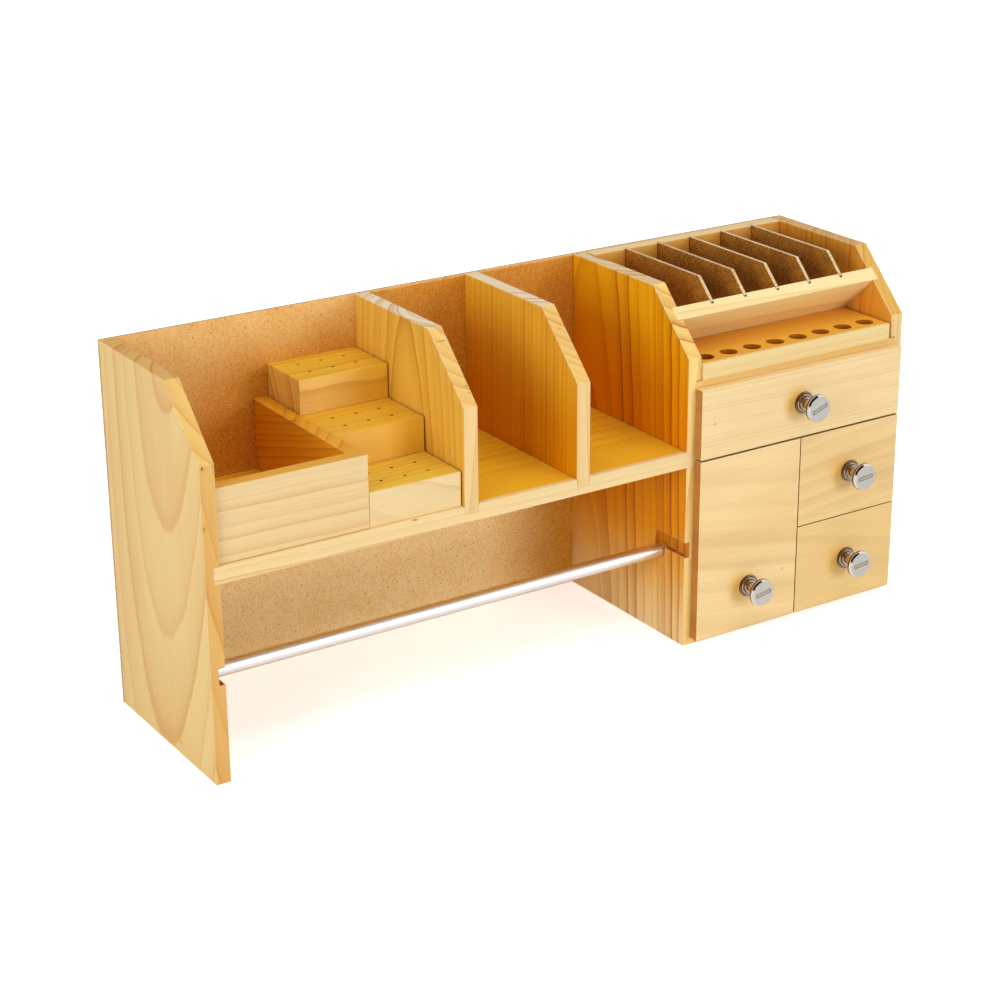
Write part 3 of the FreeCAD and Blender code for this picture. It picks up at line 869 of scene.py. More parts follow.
class Joints:
    """Tells which edges of a board lie against another board, where dirt and shadow gather."""

    reach = 1.3 * MM
    wide_reach = 1.9 * MM
    shortest = 20 * MM
    slender = 14 * MM
    steps = 8
    edge_share = 0.55
    leaning = ("divider_rest",)
    closed = ({"bin_front", "lower_bur_block"}, {"bin_side", "lower_bur_block"})

    def __init__(self, node: str) -> None:
        """Takes the boxes of all the other nodes, apart from what leans and what closes without a line."""
        others = (name for name in frame["nodes"] if name != node and name not in self.leaning)
        self.boxes = [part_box(name) for name in others if {name, node} not in self.closed]

    def near(self, place: Vector, reach: float) -> bool:
        """Whether a place is inside another node's box, or within reach of it."""
        return any(
            all(low[axis] - reach <= place[axis] <= high[axis] + reach for axis in range(3))
            for low, high in self.boxes
        )

    def share(self, face: bpy.types.MeshPolygon, corners: Sequence[Vector], rounded: bool) -> float:
        """How dark a face is: its longest diagonal must be near other boards all along, and long enough.

        Args:
            face: a face of the board.
            corners: its corners.
            rounded: whether it is part of a rounded edge.

        Returns:
            1 for a round in a joint, less for a narrow edge that faces another board, and 0 elsewhere.
        """
        start = corners[0]
        far = max(corners, key=lambda corner: (corner - start).length)
        length = (far - start).length
        if length < self.shortest or not rounded and face.area / length > self.slender:
            return 0.0
        reach = self.reach if rounded else self.wide_reach
        if not all(self.near(start.lerp(far, step / self.steps), reach) for step in range(self.steps + 1)):
            return 0.0
        return 1.0 if rounded else self.edge_share


def ease_edges(piece: Piece, node: str, ease: float, segments: int = 2) -> Piece:
    """Rounds a board's sharp edges and marks the rounds: "seam" in a joint and "arris" elsewhere.

    Args:
        piece: the board, with any other modifiers already on it.
        node: the CAD node it stands for.
        ease: how far the rounding reaches from the edge, in metres.
        segments: how many strips each rounding has.

    Returns:
        The board as a plain mesh.
    """
    bevel = piece.modifiers.new("eased edges", "BEVEL")
    bevel.width = ease
    bevel.segments = segments
    bevel.limit_method = "ANGLE"
    bevel.angle_limit = math.radians(30.0)
    bevel.use_clamp_overlap = True
    bevel.material = 1
    plain_mesh(piece)
    mesh = piece.data
    joints = Joints(node)
    seams, arrises = [], []
    for face in mesh.polygons:
        rounded = face.material_index == 1
        seam = joints.share(face, [mesh.vertices[corner].co for corner in face.vertices], rounded)
        seams.append(seam)
        arrises.append(1.0 if rounded and not seam else 0.0)
        face.material_index = 0
    mark_faces(mesh, "seam", seams)
    mark_faces(mesh, "arris", arrises)
    mesh.materials.clear()
    settle_normals(mesh)
    return piece


def settle_normals(mesh: Mesh, turn: float = 50.0) -> None:
    """Shades wide faces flat and the narrow rounds between them smooth.

    Args:
        mesh: the board's mesh.
        turn: the most, in degrees, that neighbouring faces turn where the shading runs on.
    """
    limit = math.cos(math.radians(turn))
    ways = [face.normal.copy() for face in mesh.polygons]
    weights = [face.area for face in mesh.polygons]
    around: list[list[int]] = [[] for _ in mesh.vertices]
    for face in mesh.polygons:
        for corner in face.vertices:
            around[corner].append(face.index)
    normals = []
    for face in mesh.polygons:
        for corner in face.vertices:
            near = [index for index in around[corner] if ways[index].dot(ways[face.index]) > limit]
            total = sum((ways[index] * weights[index] for index in near), Vector())
            normals.append(total.normalized() if total.length > 0 else ways[face.index])
    mesh.normals_split_custom_set(normals)


def mark_faces(mesh: Mesh, name: str, values: Sequence[float]) -> None:
    """Gives a mesh's faces an attribute."""
    mesh.attributes.new(name, "FLOAT", "FACE").data.foreach_set("value", values)


def mark_hollows(piece: Piece, low: Vector, high: Vector, skin: float = 0.8 * MM) -> None:
    """Marks the walls and floors of a board's holes with the attribute "hollow". A sloping face is none.

    Args:
        piece: the drilled board.
        low: the lowest corner of its box.
        high: the highest corner of its box.
        skin: how deep under the board's faces a hollow starts.
    """
    upright = 0.1
    hollows = [
        float(
            all(low[axis] + skin < face.center[axis] < high[axis] - skin for axis in range(3))
            and not upright < abs(face.normal.z) < FACING
        )
        for face in piece.data.polygons
    ]
    mark_faces(piece.data, "hollow", hollows)


def eased_copy(node: str, name: str, ease: float) -> Piece:
    """Copies a CAD board, joins its loose triangles into faces and eases its edges.

    Args:
        node: the CAD node to copy.
        name: the new piece's name.
        ease: how far the rounding reaches, in metres.

    Returns:
        The new piece.
    """
    work = bmesh.new()
    work.from_mesh(frame["nodes"][node].data)
    bmesh.ops.remove_doubles(work, verts=work.verts, dist=1e-6)
    bmesh.ops.dissolve_limit(work, angle_limit=math.radians(1.0), verts=work.verts, edges=work.edges)
    for face in work.faces:
        face.smooth = True
        face.material_index = 0
    mesh = worked_mesh(name, work)
    while len(mesh.materials) < 2:
        mesh.materials.append(None)
    return ease_edges(mesh_piece(name, mesh), node, ease)


def body_of(node: str) -> str:
    """The body that carries a CAD node."""
    bodies = frame["record"]["behaviour"]["bodies"]
    return next(body for body, nodes in bodies.items() if node in nodes)


def stand_for(piece: Piece, node: str, *materials: Material) -> None:
    """Dresses a piece and lets it stand for a CAD node, on its body and with its material slot."""
    for material in materials:
        piece.data.materials.append(material)
    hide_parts(node)
    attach(piece, body_of(node))
    LOG.info("%s stands for %s and rides on %s", piece.name, node, body_of(node))


def middle_of(node: str) -> Vector:
    """The middle of a CAD node's box."""
    low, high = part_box(node)
    return (low + high) / 2


@dataclass
class PineBoards:
    """Boards of one sub-assembly, copied from the CAD with eased edges."""

    kit: ShaderKit
    finishes: dict[str, PineFinish]
    ease: float = 0.45 * MM

    def build(self) -> None:
        """Makes and dresses every board."""
        for node, finish in self.finishes.items():
            board = eased_copy(node, node + "_board", self.ease)
            if finish.hole_shade_colour:
                mark_hollows(board, *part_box(node))
            stand_for(board, node, finish.material(self.kit, node + "_pine", middle_of(node)))


class GeometryTree:
    """A geometry tree with named inputs, built in the script."""

    def __init__(self, name: str, inputs: dict[str, str]) -> None:
        """Starts the tree.

        Args:
            name: the tree's name.
            inputs: the socket type of each named input.
        """
        self.tree = bpy.data.node_groups.new(name, "GeometryNodeTree")
        self.tree.interface.new_socket("Geometry", in_out="INPUT", socket_type=GEOMETRY)
        self.keys = {}
        for label, kind in inputs.items():
            socket = self.tree.interface.new_socket(label, in_out="INPUT", socket_type=kind)
            self.keys[label] = socket.identifier
        self.tree.interface.new_socket("Geometry", in_out="OUTPUT", socket_type=GEOMETRY)
        self.sketch = NodeSketch(self.tree)
        self.given = self.sketch.add("NodeGroupInput").outputs
        self.result = self.sketch.add("NodeGroupOutput")

    def line_points(self) -> Socket:
        """Points at an even pitch along the lines that the tree is given."""
        curves = self.sketch.add("GeometryNodeMeshToCurve", {"Mesh": self.given["Geometry"]}).outputs[0]
        inputs = {"Curve": curves, "Length": self.given["Pitch"]}
        return self.sketch.add("GeometryNodeCurveToPoints", inputs, mode="LENGTH").outputs["Points"]

    def finish(self, geometry: Socket) -> None:
        """Ends the tree: instances made real, then the material."""
        real = self.sketch.add("GeometryNodeRealizeInstances", {0: geometry})
        inputs = {"Geometry": real.outputs[0], "Material": self.given["Material"]}
        dressed = self.sketch.add("GeometryNodeSetMaterial", inputs)
        self.sketch.put(self.result.inputs[0], dressed.outputs[0])

    def piece(
        self, name: str, points: Sequence[Vector], values: dict[str, Any], in_pairs: bool = False
    ) -> Piece:
        """Runs the tree on some points.

        Args:
            name: the new piece's name.
            points: where the tree starts from.
            values: a value for each named input.
            in_pairs: whether the points are the ends of lines.

        Returns:
            The piece, with the tree still on it as a modifier.
        """
        edges = [(start, start + 1) for start in range(0, len(points), 2)] if in_pairs else []
        mesh = bpy.data.meshes.new(name)
        mesh.from_pydata([tuple(point) for point in points], edges, [])
        piece = mesh_piece(name, mesh)
        modifier = piece.modifiers.new(self.tree.name, "NODES")
        modifier.node_group = self.tree
        for label, value in values.items():
            modifier[self.keys[label]] = value
        return piece


def drilled_board_tree() -> GeometryTree:
    """A board with a hole drilled down from each point."""
    drilled = GeometryTree("drilled_board", {
        "Size": VECTOR, "Middle": VECTOR, "Hole Radius": FLOAT, "Hole Length": FLOAT, "Hole Sides": WHOLE,
        "Turn": VECTOR, "Material": MATERIAL,
    })
    sketch, given = drilled.sketch, drilled.given
    shape = {"Vertices": given["Hole Sides"], "Radius": given["Hole Radius"], "Depth": given["Hole Length"]}
    drill = sketch.add("GeometryNodeMeshCylinder", shape).outputs["Mesh"]
    places = {"Points": given["Geometry"], "Instance": drill, "Rotation": given["Turn"]}
    drills = sketch.add("GeometryNodeInstanceOnPoints", places).outputs[0]
    waste = sketch.add("GeometryNodeRealizeInstances", {0: drills}).outputs[0]
    cube = sketch.add("GeometryNodeMeshCube", {"Size": given["Size"]}).outputs["Mesh"]
    blank = sketch.add("GeometryNodeTransform", {"Geometry": cube, "Translation": given["Middle"]}).outputs[0]
    cut = sketch.add("GeometryNodeMeshBoolean", operation="DIFFERENCE", solver="EXACT")
    sketch.fill(cut, {"Mesh 1": blank, "Mesh 2": waste})
    drilled.finish(cut.outputs[0])
    return drilled


def nail_heads_tree() -> GeometryTree:
    """A flat nail head on each point of a row, at an even pitch."""
    nails = GeometryTree("nail_heads", {
        "Pitch": FLOAT, "Head Radius": FLOAT, "Head Height": FLOAT, "Turn": VECTOR, "Material": MATERIAL,
    })
    sketch, given = nails.sketch, nails.given
    radius = given["Head Radius"]
    crown = sketch.times(radius, 0.8)
    sides = 20
    shape = {"Vertices": sides, "Radius Bottom": radius, "Radius Top": crown, "Depth": given["Head Height"]}
    head = sketch.add("GeometryNodeMeshCone", shape).outputs["Mesh"]
    places = {"Points": nails.line_points(), "Instance": head, "Rotation": given["Turn"]}
    nails.finish(sketch.add("GeometryNodeInstanceOnPoints", places).outputs[0])
    return nails


def torn_fibres_tree() -> GeometryTree:
    """Slivers of torn fibre at random along a line, with a fixed seed."""
    torn = GeometryTree("torn_fibres", {
        "Pitch": FLOAT, "Share": FLOAT, "Sliver Length": FLOAT, "Sliver Radius": FLOAT, "Seed": WHOLE,
        "Material": MATERIAL,
    })
    sketch, given = torn.sketch, torn.given
    radius, length, seed = (given[label] for label in ("Sliver Radius", "Sliver Length", "Seed"))
    chance = {"Probability": given["Share"], "Seed": seed}
    chosen = sketch.add("FunctionNodeRandomValue", chance, data_type="BOOLEAN").outputs["Value"]
    sides = 5
    shape = {"Vertices": sides, "Radius Bottom": radius, "Radius Top": 0.0, "Depth": length}
    sliver = sketch.add("GeometryNodeMeshCone", shape).outputs["Mesh"]
    widest = Vector((0.9, 1.2, 0.9))
    turns = {0: -widest, 1: widest, "Seed": sketch.plus(seed, 1.0)}
    turn = sketch.add("FunctionNodeRandomValue", turns, data_type="FLOAT_VECTOR").outputs[0]
    smallest = 0.35
    sizes = {2: smallest, 3: 1.0, "Seed": sketch.plus(seed, 2.0)}
    size = sketch.add("FunctionNodeRandomValue", sizes, data_type="FLOAT").outputs[1]
    places = {"Points": torn.line_points(), "Selection": chosen, "Instance": sliver}
    places.update({"Rotation": turn, "Scale": size})
    torn.finish(sketch.add("GeometryNodeInstanceOnPoints", places).outputs[0])
    return torn


@dataclass
class Carcass:
    """The panels, partitions, shelf and hardboard back."""

    kit: ShaderKit
    nail_pitch: float = 52 * MM
    nail_inset: float = 9 * MM
    board_inset: float = 36 * MM
    nail_radius: float = 1.5 * MM
    nail_height: float = 0.4 * MM
    sheet_ease: float = 0.25 * MM

    def finishes(self) -> dict[str, PineFinish]:
        """The finish of each board, by node."""
        return {
            "left_end_panel": PineFinish(
                heart=(90, -14), ring=13, lean=(-0.14, -0.12), wander=2, ripple=1.5, late=1.0, seed=3.1,
                blush=0.8, early_colour=(0.89, 0.64, 0.255), late_colour=(0.78, 0.43, 0.13),
                blush_colour=(0.87, 0.55, 0.22), end_colour=(0.80, 0.60, 0.32), end_paleness=0.5,
                slant_colour=(0.97, 0.95, 0.78), front_colour=(0.86, 0.71, 0.49),
                hole_shade_colour=(0.62, 0.40, 0.22),
                knots=(
                    Knot((-345.0, -72.0, 264.0), 1.3, (1.0, 1.0, 0.5), colour=(0.42, 0.2, 0.03)),
                    Knot((-346.0, -72.0, 215.5), 1.5, (1.0, 1.0, 0.6), colour=(0.62, 0.36, 0.05)),
                    Knot((-348.0, -49.0, 287.0), 0.9, (1.0, 1.0, 0.7)),
                    Knot((-347.5, -10.3, 11.5), 1.3, colour=(0.48, 0.25, 0.08)),
                ),
            ),
            "left_partition": PineFinish(
                heart=(34, 3), ring=7.6, lean=(0.1, 0.0), wander=2, late=0.85, seed=7.7, end_paleness=0.8,
                end_colour=(0.92, 0.92, 0.95), bay_shade_colour=(0.97, 0.83, 0.26),
                deep_shade_colour=(0.98, 0.95, 0.85),
                knots=(
                    Knot((-109.5, -28.2, 309.3), 0.5, (0.08, 1.0, 1.0), halo=0.1, colour=(0.2, 0.12, 0.06)),
                    Knot((-105.7, -58.4, 279.1), 1.0, (1.4, 0.8, 0.8)),
                    Knot((-105.8, -62.9, 274.6), 0.7, (1.4, 0.8, 0.8)),
                ),
            ),
            "right_partition": PineFinish(
                heart=(90, 130), ring=5.4, lean=(0.02, -0.03), wander=4, late=0.8, seed=12.3,
                end_paleness=0.8, end_colour=(0.92, 0.92, 0.95), bay_shade_colour=(1.0, 0.75, 0.12),
                deep_shade_colour=(0.80, 0.58, 0.06), knots=(Knot((0.5, -35.0, 302.5), 0.7),),
            ),
            "cabinet_left_panel": PineFinish(
                heart=(50, 65), ring=10, lean=(0.09, 0.0), wander=7, ripple=1.6, late=1.0, seed=21.9,
                early_colour=(0.98, 0.76, 0.40), late_colour=(0.52, 0.22, 0.04), end_paleness=0.6,
                front_colour=(1.0, 0.93, 0.62), hole_shade_colour=(0.84, 0.74, 0.55),
                bay_shade_colour=(0.95, 0.60, 0.012), deep_shade_colour=(0.90, 0.68, 0.25), foot=0.12, foot_tone=0.06,
            ),
            "right_end_panel": PineFinish(
                heart=(70, -90), ring=6, lean=(0.03, 0.0), late=1.0, seed=33.0,
                slant_colour=(0.86, 0.70, 0.32), bay_shade_colour=(0.92, 0.57, 0.13),
            ),
            "shelf": PineFinish(
                GrainRun.LENGTHWISE, heart=(70, -60), ring=7.5, lean=(0.015, 0.0), wander=6, ripple=1.5,
                late=0.65, seed=41.0, early_colour=(0.91, 0.69, 0.34), bay_shade_colour=(1.0, 0.73, 0.06),
                tone_start=4.2, knots=(Knot((-163.3, -72.0, 182.0), 1.1, (0.35, 1.0, 1.0), halo=0.2),),
            ),
        }

    def build(self) -> None:
        """Makes and dresses the carcass."""
        PineBoards(self.kit, self.finishes()).build()
        self.build_back()
        self.build_nails()

    def build_back(self) -> None:
        """The hardboard back: smooth in front, screen-printed behind, sawn at its edges."""
        sheet = eased_copy("back_panel", "back_sheet", self.sheet_ease)
        looks = (
            HardboardFinish(BoardFace.SMOOTH),
            HardboardFinish(
                BoardFace.SCREEN, base=(0.60, 0.35, 0.15), dark=(0.42, 0.22, 0.08), hair=(0.70, 0.43, 0.19),
                upper_shade_colour=WHITE, bay_shade_colour=WHITE, roughness=0.7,
            ),
            HardboardFinish(
                BoardFace.SAWN, base=(0.62, 0.42, 0.23), dark=(0.42, 0.25, 0.11), hair=(0.72, 0.50, 0.28),
                upper_shade_colour=WHITE, bay_shade_colour=WHITE, roughness=0.8,
            ),
        )
        materials = (look.material(self.kit, "back_" + look.face.value) for look in looks)
        stand_for(sheet, "back_panel", *materials)
        for face in sheet.data.polygons:
            if abs(face.normal.y) > FACING:
                face.material_index = 0 if face.normal.y < 0 else 1
            else:
                face.material_index = 2

    def build_nails(self) -> None:
        """Nail heads in rows over every board behind the back."""
        low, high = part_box("back_panel")
        ends = []
        partitions = ("left_partition", "right_partition")
        for node in ("left_end_panel", *partitions, "cabinet_left_panel", "right_end_panel"):
            foot = max(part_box(node)[0].z, low.z) + self.nail_inset
            ends += [Vector((middle_of(node).x, high.y, z)) for z in (foot, high.z - self.nail_inset)]
        for node in ("shelf", "cabinet_deck", "cabinet_bottom_board"):
            left, right = (corner.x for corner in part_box(node))
            sides = (left + self.board_inset, right - self.board_inset)
            ends += [Vector((x, high.y, middle_of(node).z)) for x in sides]
        values = {
            "Pitch": self.nail_pitch, "Head Radius": self.nail_radius, "Head Height": self.nail_height,
            "Turn": (math.radians(-90.0), 0.0, 0.0),
            "Material": MetalFinish(base=(0.52, 0.50, 0.48), roughness=0.35).material(self.kit, "nail_steel"),
        }
        nails = plain_mesh(nail_heads_tree().piece("back_nails", ends, values, in_pairs=True))
        for vertex in nails.data.vertices:
            vertex.co.y -= self.nail_height / 2
        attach(nails, "carcass")
        LOG.info("nails: %d faces", len(nails.data.polygons))


@dataclass
class PartsBin:
    """The bin's front and side boards."""

    kit: ShaderKit

    def build(self) -> None:
        """Makes and dresses the bin."""
        PineBoards(
            self.kit,
            {
                "bin_front": PineFinish(
                    GrainRun.LENGTHWISE, heart=(-85, -20), ring=7.4, lean=(0.02, 0.0), wander=2.5,
                    ripple=1.6, late=0.62, seed=52.0, early_colour=(0.84, 0.61, 0.305),
                    bay_shade_colour=(0.90, 0.60, 0.10),
                ),
                "bin_side": PineFinish(
                    GrainRun.FRONT_TO_BACK, heart=(34, 62), ring=5.5, lean=(0.1, 0.25), wander=6, late=0.85,
                    seed=58.0, bay_shade_colour=(0.92, 0.58, 0.045),
                    knots=(Knot((-213.2, 32.2, 244.2), 2.2, (1.0, 0.6, 1.0), colour=(0.45, 0.2, 0.03)),),
                ),
            },
        ).build()


@dataclass(frozen=True)
class Drilling:
    """The holes of a board: their radius and the drill's length in metres, and the facets round a hole."""

    radius: float
    length: float
    sides: int

    def board(
        self, name: str, node: str, points: Sequence[Vector], low: Vector, high: Vector, ease: float
    ) -> Piece:
        """Drills a board down from its top, eases its edges and marks its hollows.

        Args:
            name: the new piece's name.
            node: the CAD node it stands for.
            points: the middles of the holes.
            low: the board's lowest corner.
            high: the board's highest corner.
            ease: how far the rounding of its edges reaches, in metres.

        Returns:
            The drilled board, without a material.
        """
        values = {
            "Size": tuple(high - low), "Middle": tuple((low + high) / 2), "Hole Radius": self.radius,
            "Hole Length": self.length, "Hole Sides": self.sides, "Turn": (0.0, 0.0, 0.0), "Material": None,
        }
        board = ease_edges(drilled_board_tree().piece(name, points, values), node, ease)
        mark_hollows(board, low, high)
        return board


@dataclass
class BurBlocks:
    """Three stepped blocks, each drilled with two rows of three holes."""

    kit: ShaderKit
    drilling: Drilling = Drilling(1.5 * MM, 40 * MM, 20)
    columns: int = 3
    rows: int = 2
    end_margin: float = 19.7 * MM
    front_margin: float = 18 * MM
    row_pitch: float = 20.8 * MM
    closing: float = 1.3 * MM
    ease: float = 0.35 * MM

    def build(self) -> None:
        """Drills and dresses the blocks."""
        # Painted shade inside the drilled holes.
        hollow: Colour = (0.40, 0.24, 0.12)
        low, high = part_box("middle_bur_block")
        # The blocks' front faces get painted shade that is weaker to the left and full towards the partition
        # on the right.
        fade = (low.x + 0.25 * (high.x - low.x), high.x)
        finishes = {
            "lower_bur_block": PineFinish(
                GrainRun.LENGTHWISE, heart=(24, 60), ring=8, lean=(0.05, 0.06), wander=3, ripple=1.2,
                late=0.6, seed=61.0, early_colour=(0.86, 0.66, 0.34), bay_shade_colour=(0.98, 0.82, 0.17),
                hole_shade_colour=hollow, knots=(Knot((-198.9, -68.2, 217.6), 0.6),),
            ),
            "middle_bur_block": PineFinish(
                GrainRun.LENGTHWISE, heart=(30, 55), ring=7, lean=(0.04, 0.0), wander=4, ripple=1.4,
                late=0.6, seed=66.0, bay_shade_colour=(0.95, 0.74, 0.12), hole_shade_colour=hollow, fade=fade,
                fade_tone=0.8,
            ),
            "upper_bur_block": PineFinish(
                GrainRun.LENGTHWISE, heart=(24, 78), ring=10, lean=(0.02, 0.0), wander=3, ripple=2.2,
                late=0.9, seed=71.0, end_colour=(1.0, 0.95, 0.9), end_paleness=0.5, end_tone=0.75,
                bay_shade_colour=(0.95, 0.79, 0.13), hole_shade_colour=hollow, fade=fade, fade_tone=0.6,
            ),
        }
        for node, finish in finishes.items():
            low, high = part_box(node)
            pitch = (high.x - low.x - 2 * self.end_margin) / (self.columns - 1)
            left, front = low.x + self.end_margin, low.y + self.front_margin
            points = [
                Vector((left + pitch * column, front + self.row_pitch * row, high.z))
                for row in range(self.rows)
                for column in range(self.columns)
            ]
            if node == "lower_bur_block":
                low.x -= self.closing
            block = self.drilling.board(node + "_drilled", node, points, low, high, self.ease)
            stand_for(block, node, finish.material(self.kit, node + "_pine", middle_of(node)))


@dataclass
class Cabinet:
    """The fixed boards of the drawer cabinet and the drilled tool strip."""

    kit: ShaderKit
    hole_ease: float = 0.5 * MM
    hole_sides: int = 48

    def build(self) -> None:
        """Makes and dresses the cabinet's boards and the strip."""
        plain = PineFinish(GrainRun.LENGTHWISE)
        finishes = {
            "cabinet_deck": replace(plain, heart=(50, -20), seed=81.0, early_colour=(0.87, 0.58, 0.19)),
            "cabinet_middle_board": replace(plain, heart=(50, 30), seed=82.0),
            "cabinet_bottom_board": replace(plain, heart=(50, 0), seed=83.0),
            "cabinet_upright": PineFinish(heart=(50, 20), seed=84.0),
            "small_drawer_shelf": replace(plain, heart=(50, 20), seed=85.0),
        }
        PineBoards(self.kit, finishes).build()
        self.build_strip()

    def build_strip(self) -> None:
        """The tool strip, drilled right through at the record's eight mounts."""
        low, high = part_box("tool_strip")
        holes = [mount for mount in frame["record"]["mounts"] if mount["kind"] == "bore"]
        points = [Vector(mount["pos_m"]) for mount in holes]
        drilling = Drilling(holes[0]["dims"]["r_mm"] * MM, 4 * (high.z - low.z), self.hole_sides)
        strip = drilling.board("tool_strip_drilled", "tool_strip", points, low, high, self.hole_ease)
        finish = PineFinish(
            GrainRun.LENGTHWISE, heart=(-70, -30), ring=8, lean=(0.012, 0.0), late=0.4, softness=0.2,
            seed=91.0, early_colour=(0.88, 0.68, 0.31), bay_shade_colour=(0.95, 0.60, 0.12),
            hole_shade_colour=(0.62, 0.42, 0.26),
            knots=(
                Knot((224.3, -15.3, 259.5), 0.8, (0.5, 1.0, 1.0), colour=(0.62, 0.3, 0.1)),
                Knot((210.0, -14.0, 259.5), 0.7, (0.12, 1.0, 1.0), colour=(0.66, 0.36, 0.12)),
            ),
        )
        stand_for(strip, "tool_strip", finish.material(self.kit, "tool_strip_pine", middle_of("tool_strip")))


@dataclass
class DividerRack:
    """The sloping rest, the back rail and the hardboard dividers that stand in their kerfs."""

    kit: ShaderKit
    sheet_ease: float = 0.3 * MM

    def build(self) -> None:
        """Makes and dresses the rack."""
        PineBoards(
            self.kit,
            {
                "divider_rest": PineFinish(
                    GrainRun.LENGTHWISE, heart=(44, -30), ring=11, lean=(0.03, 0.0), wander=8, late=0.35,
                    seed=101.0, early_colour=(0.95, 0.75, 0.37), bay_shade_colour=(1.0, 1.0, 0.9),
                ),
                "divider_back_rail": PineFinish(
                    GrainRun.LENGTHWISE, heart=(-60, 30), ring=6, lean=(0.02, 0.0), ripple=1.2, late=0.7,
                    seed=103.0, bay_shade_colour=(0.95, 0.68, 0.26),
                ),
            },
        ).build()
        face = HardboardFinish(
            BoardFace.SMOOTH, "YZ", base=(0.48, 0.18, 0.018), dark=(0.26, 0.075, 0.005),
            fleck=(0.10, 0.03, 0.002), hair=(0.68, 0.35, 0.05), bay_shade_colour=(0.8, 0.66, 0.4), top_reach=0.05,
            left_reach=0.05, bin_reach=0.05, upper_shade_colour=WHITE,
        ).material(self.kit, "divider_face")
        edge = HardboardFinish(
            BoardFace.SAWN, base=(0.76, 0.52, 0.24), dark=(0.36, 0.19, 0.06), hair=(0.92, 0.76, 0.5),
            flecks=0.6, upper_shade_colour=WHITE, bay_shade_colour=(0.97, 0.9, 0.75),
        ).material(self.kit, "divider_edge")
        dividers = (name for name in frame["nodes"] if name.startswith("divider_") and name[-1].isdigit())
        for node in sorted(dividers):
            sheet = eased_copy(node, node + "_sheet", self.sheet_ease)
            stand_for(sheet, node, face, edge)
            for polygon in sheet.data.polygons:
                polygon.material_index = 0 if abs(polygon.normal.x) > FACING else 1


@dataclass
class HangingRod:
    """The bright rod under the shelf."""

    kit: ShaderKit
    ease: float = 0.5 * MM

    def build(self) -> None:
        """Makes and dresses the rod."""
        rod = eased_copy("hanging_rod", "bright_rod", self.ease)
        finish = MetalFinish(
            base=(0.90, 0.90, 0.90), shade=(0.70, 0.70, 0.71), roughness=0.30, spread=(0.01, 1.0, 1.0),
            scale=1500.0,
        )
        stand_for(rod, "hanging_rod", finish.material(self.kit, "rod_aluminium"))


@dataclass(frozen=True)
class KnobProfile:
    """The turned knob's outline: radius and reach from the drawer's face, in millimetres."""

    rosette: float = 10.0
    rosette_height: float = 2.6
    collar: float = 6.2
    collar_height: float = 4.0
    neck: float = 4.3
    head: float = 12.5
    head_back: float = 17.4
    head_rim: float = 20.4
    face: float = 11.3
    reach: float = 22.0
    flare_steps: int = 6
    flare_width: float = 2.4
    flare_length: float = 3.0
    flare_rise: float = 2.6

    def points(self) -> list[tuple[float, float]]:
        """The outline from the drawer's face round to the rim of the head's flat face."""
        flare = []
        for step in range(self.flare_steps + 1):
            angle = step / self.flare_steps * math.pi / 2
            radius = self.neck + self.flare_width * (1 - math.cos(angle))
            flare.append((radius, self.head_back - self.flare_length + self.flare_rise * math.sin(angle)))
        return [
            (0.0, 0.0), (self.rosette, 0.0), (self.rosette, 0.9), (self.rosette - 0.2, 1.1),
            (self.rosette - 1.1, 1.1), (self.rosette - 1.4, 0.8), (self.rosette - 1.7, 1.0),
            (self.rosette - 1.8, 1.9), (self.rosette - 2.2, self.rosette_height - 0.1),
            (self.rosette - 2.8, self.rosette_height), (self.collar + 0.5, self.rosette_height - 0.1),
            (self.collar + 0.2, self.rosette_height - 0.4), (self.collar, self.rosette_height),
            (self.collar, self.collar_height - 0.6), (self.collar - 0.3, self.collar_height - 0.1),
            (self.neck + 0.9, self.collar_height), (self.neck + 0.2, self.collar_height + 0.3),
            (self.neck, self.collar_height + 0.9), *flare, (self.head - 0.5, self.head_back),
            (self.head, self.head_back + 0.4), (self.head, self.head_rim - 0.7),
            (self.head - 0.15, self.head_rim - 0.35), (self.face + 0.25, self.reach - 0.2),
            (self.face, self.reach),
        ]


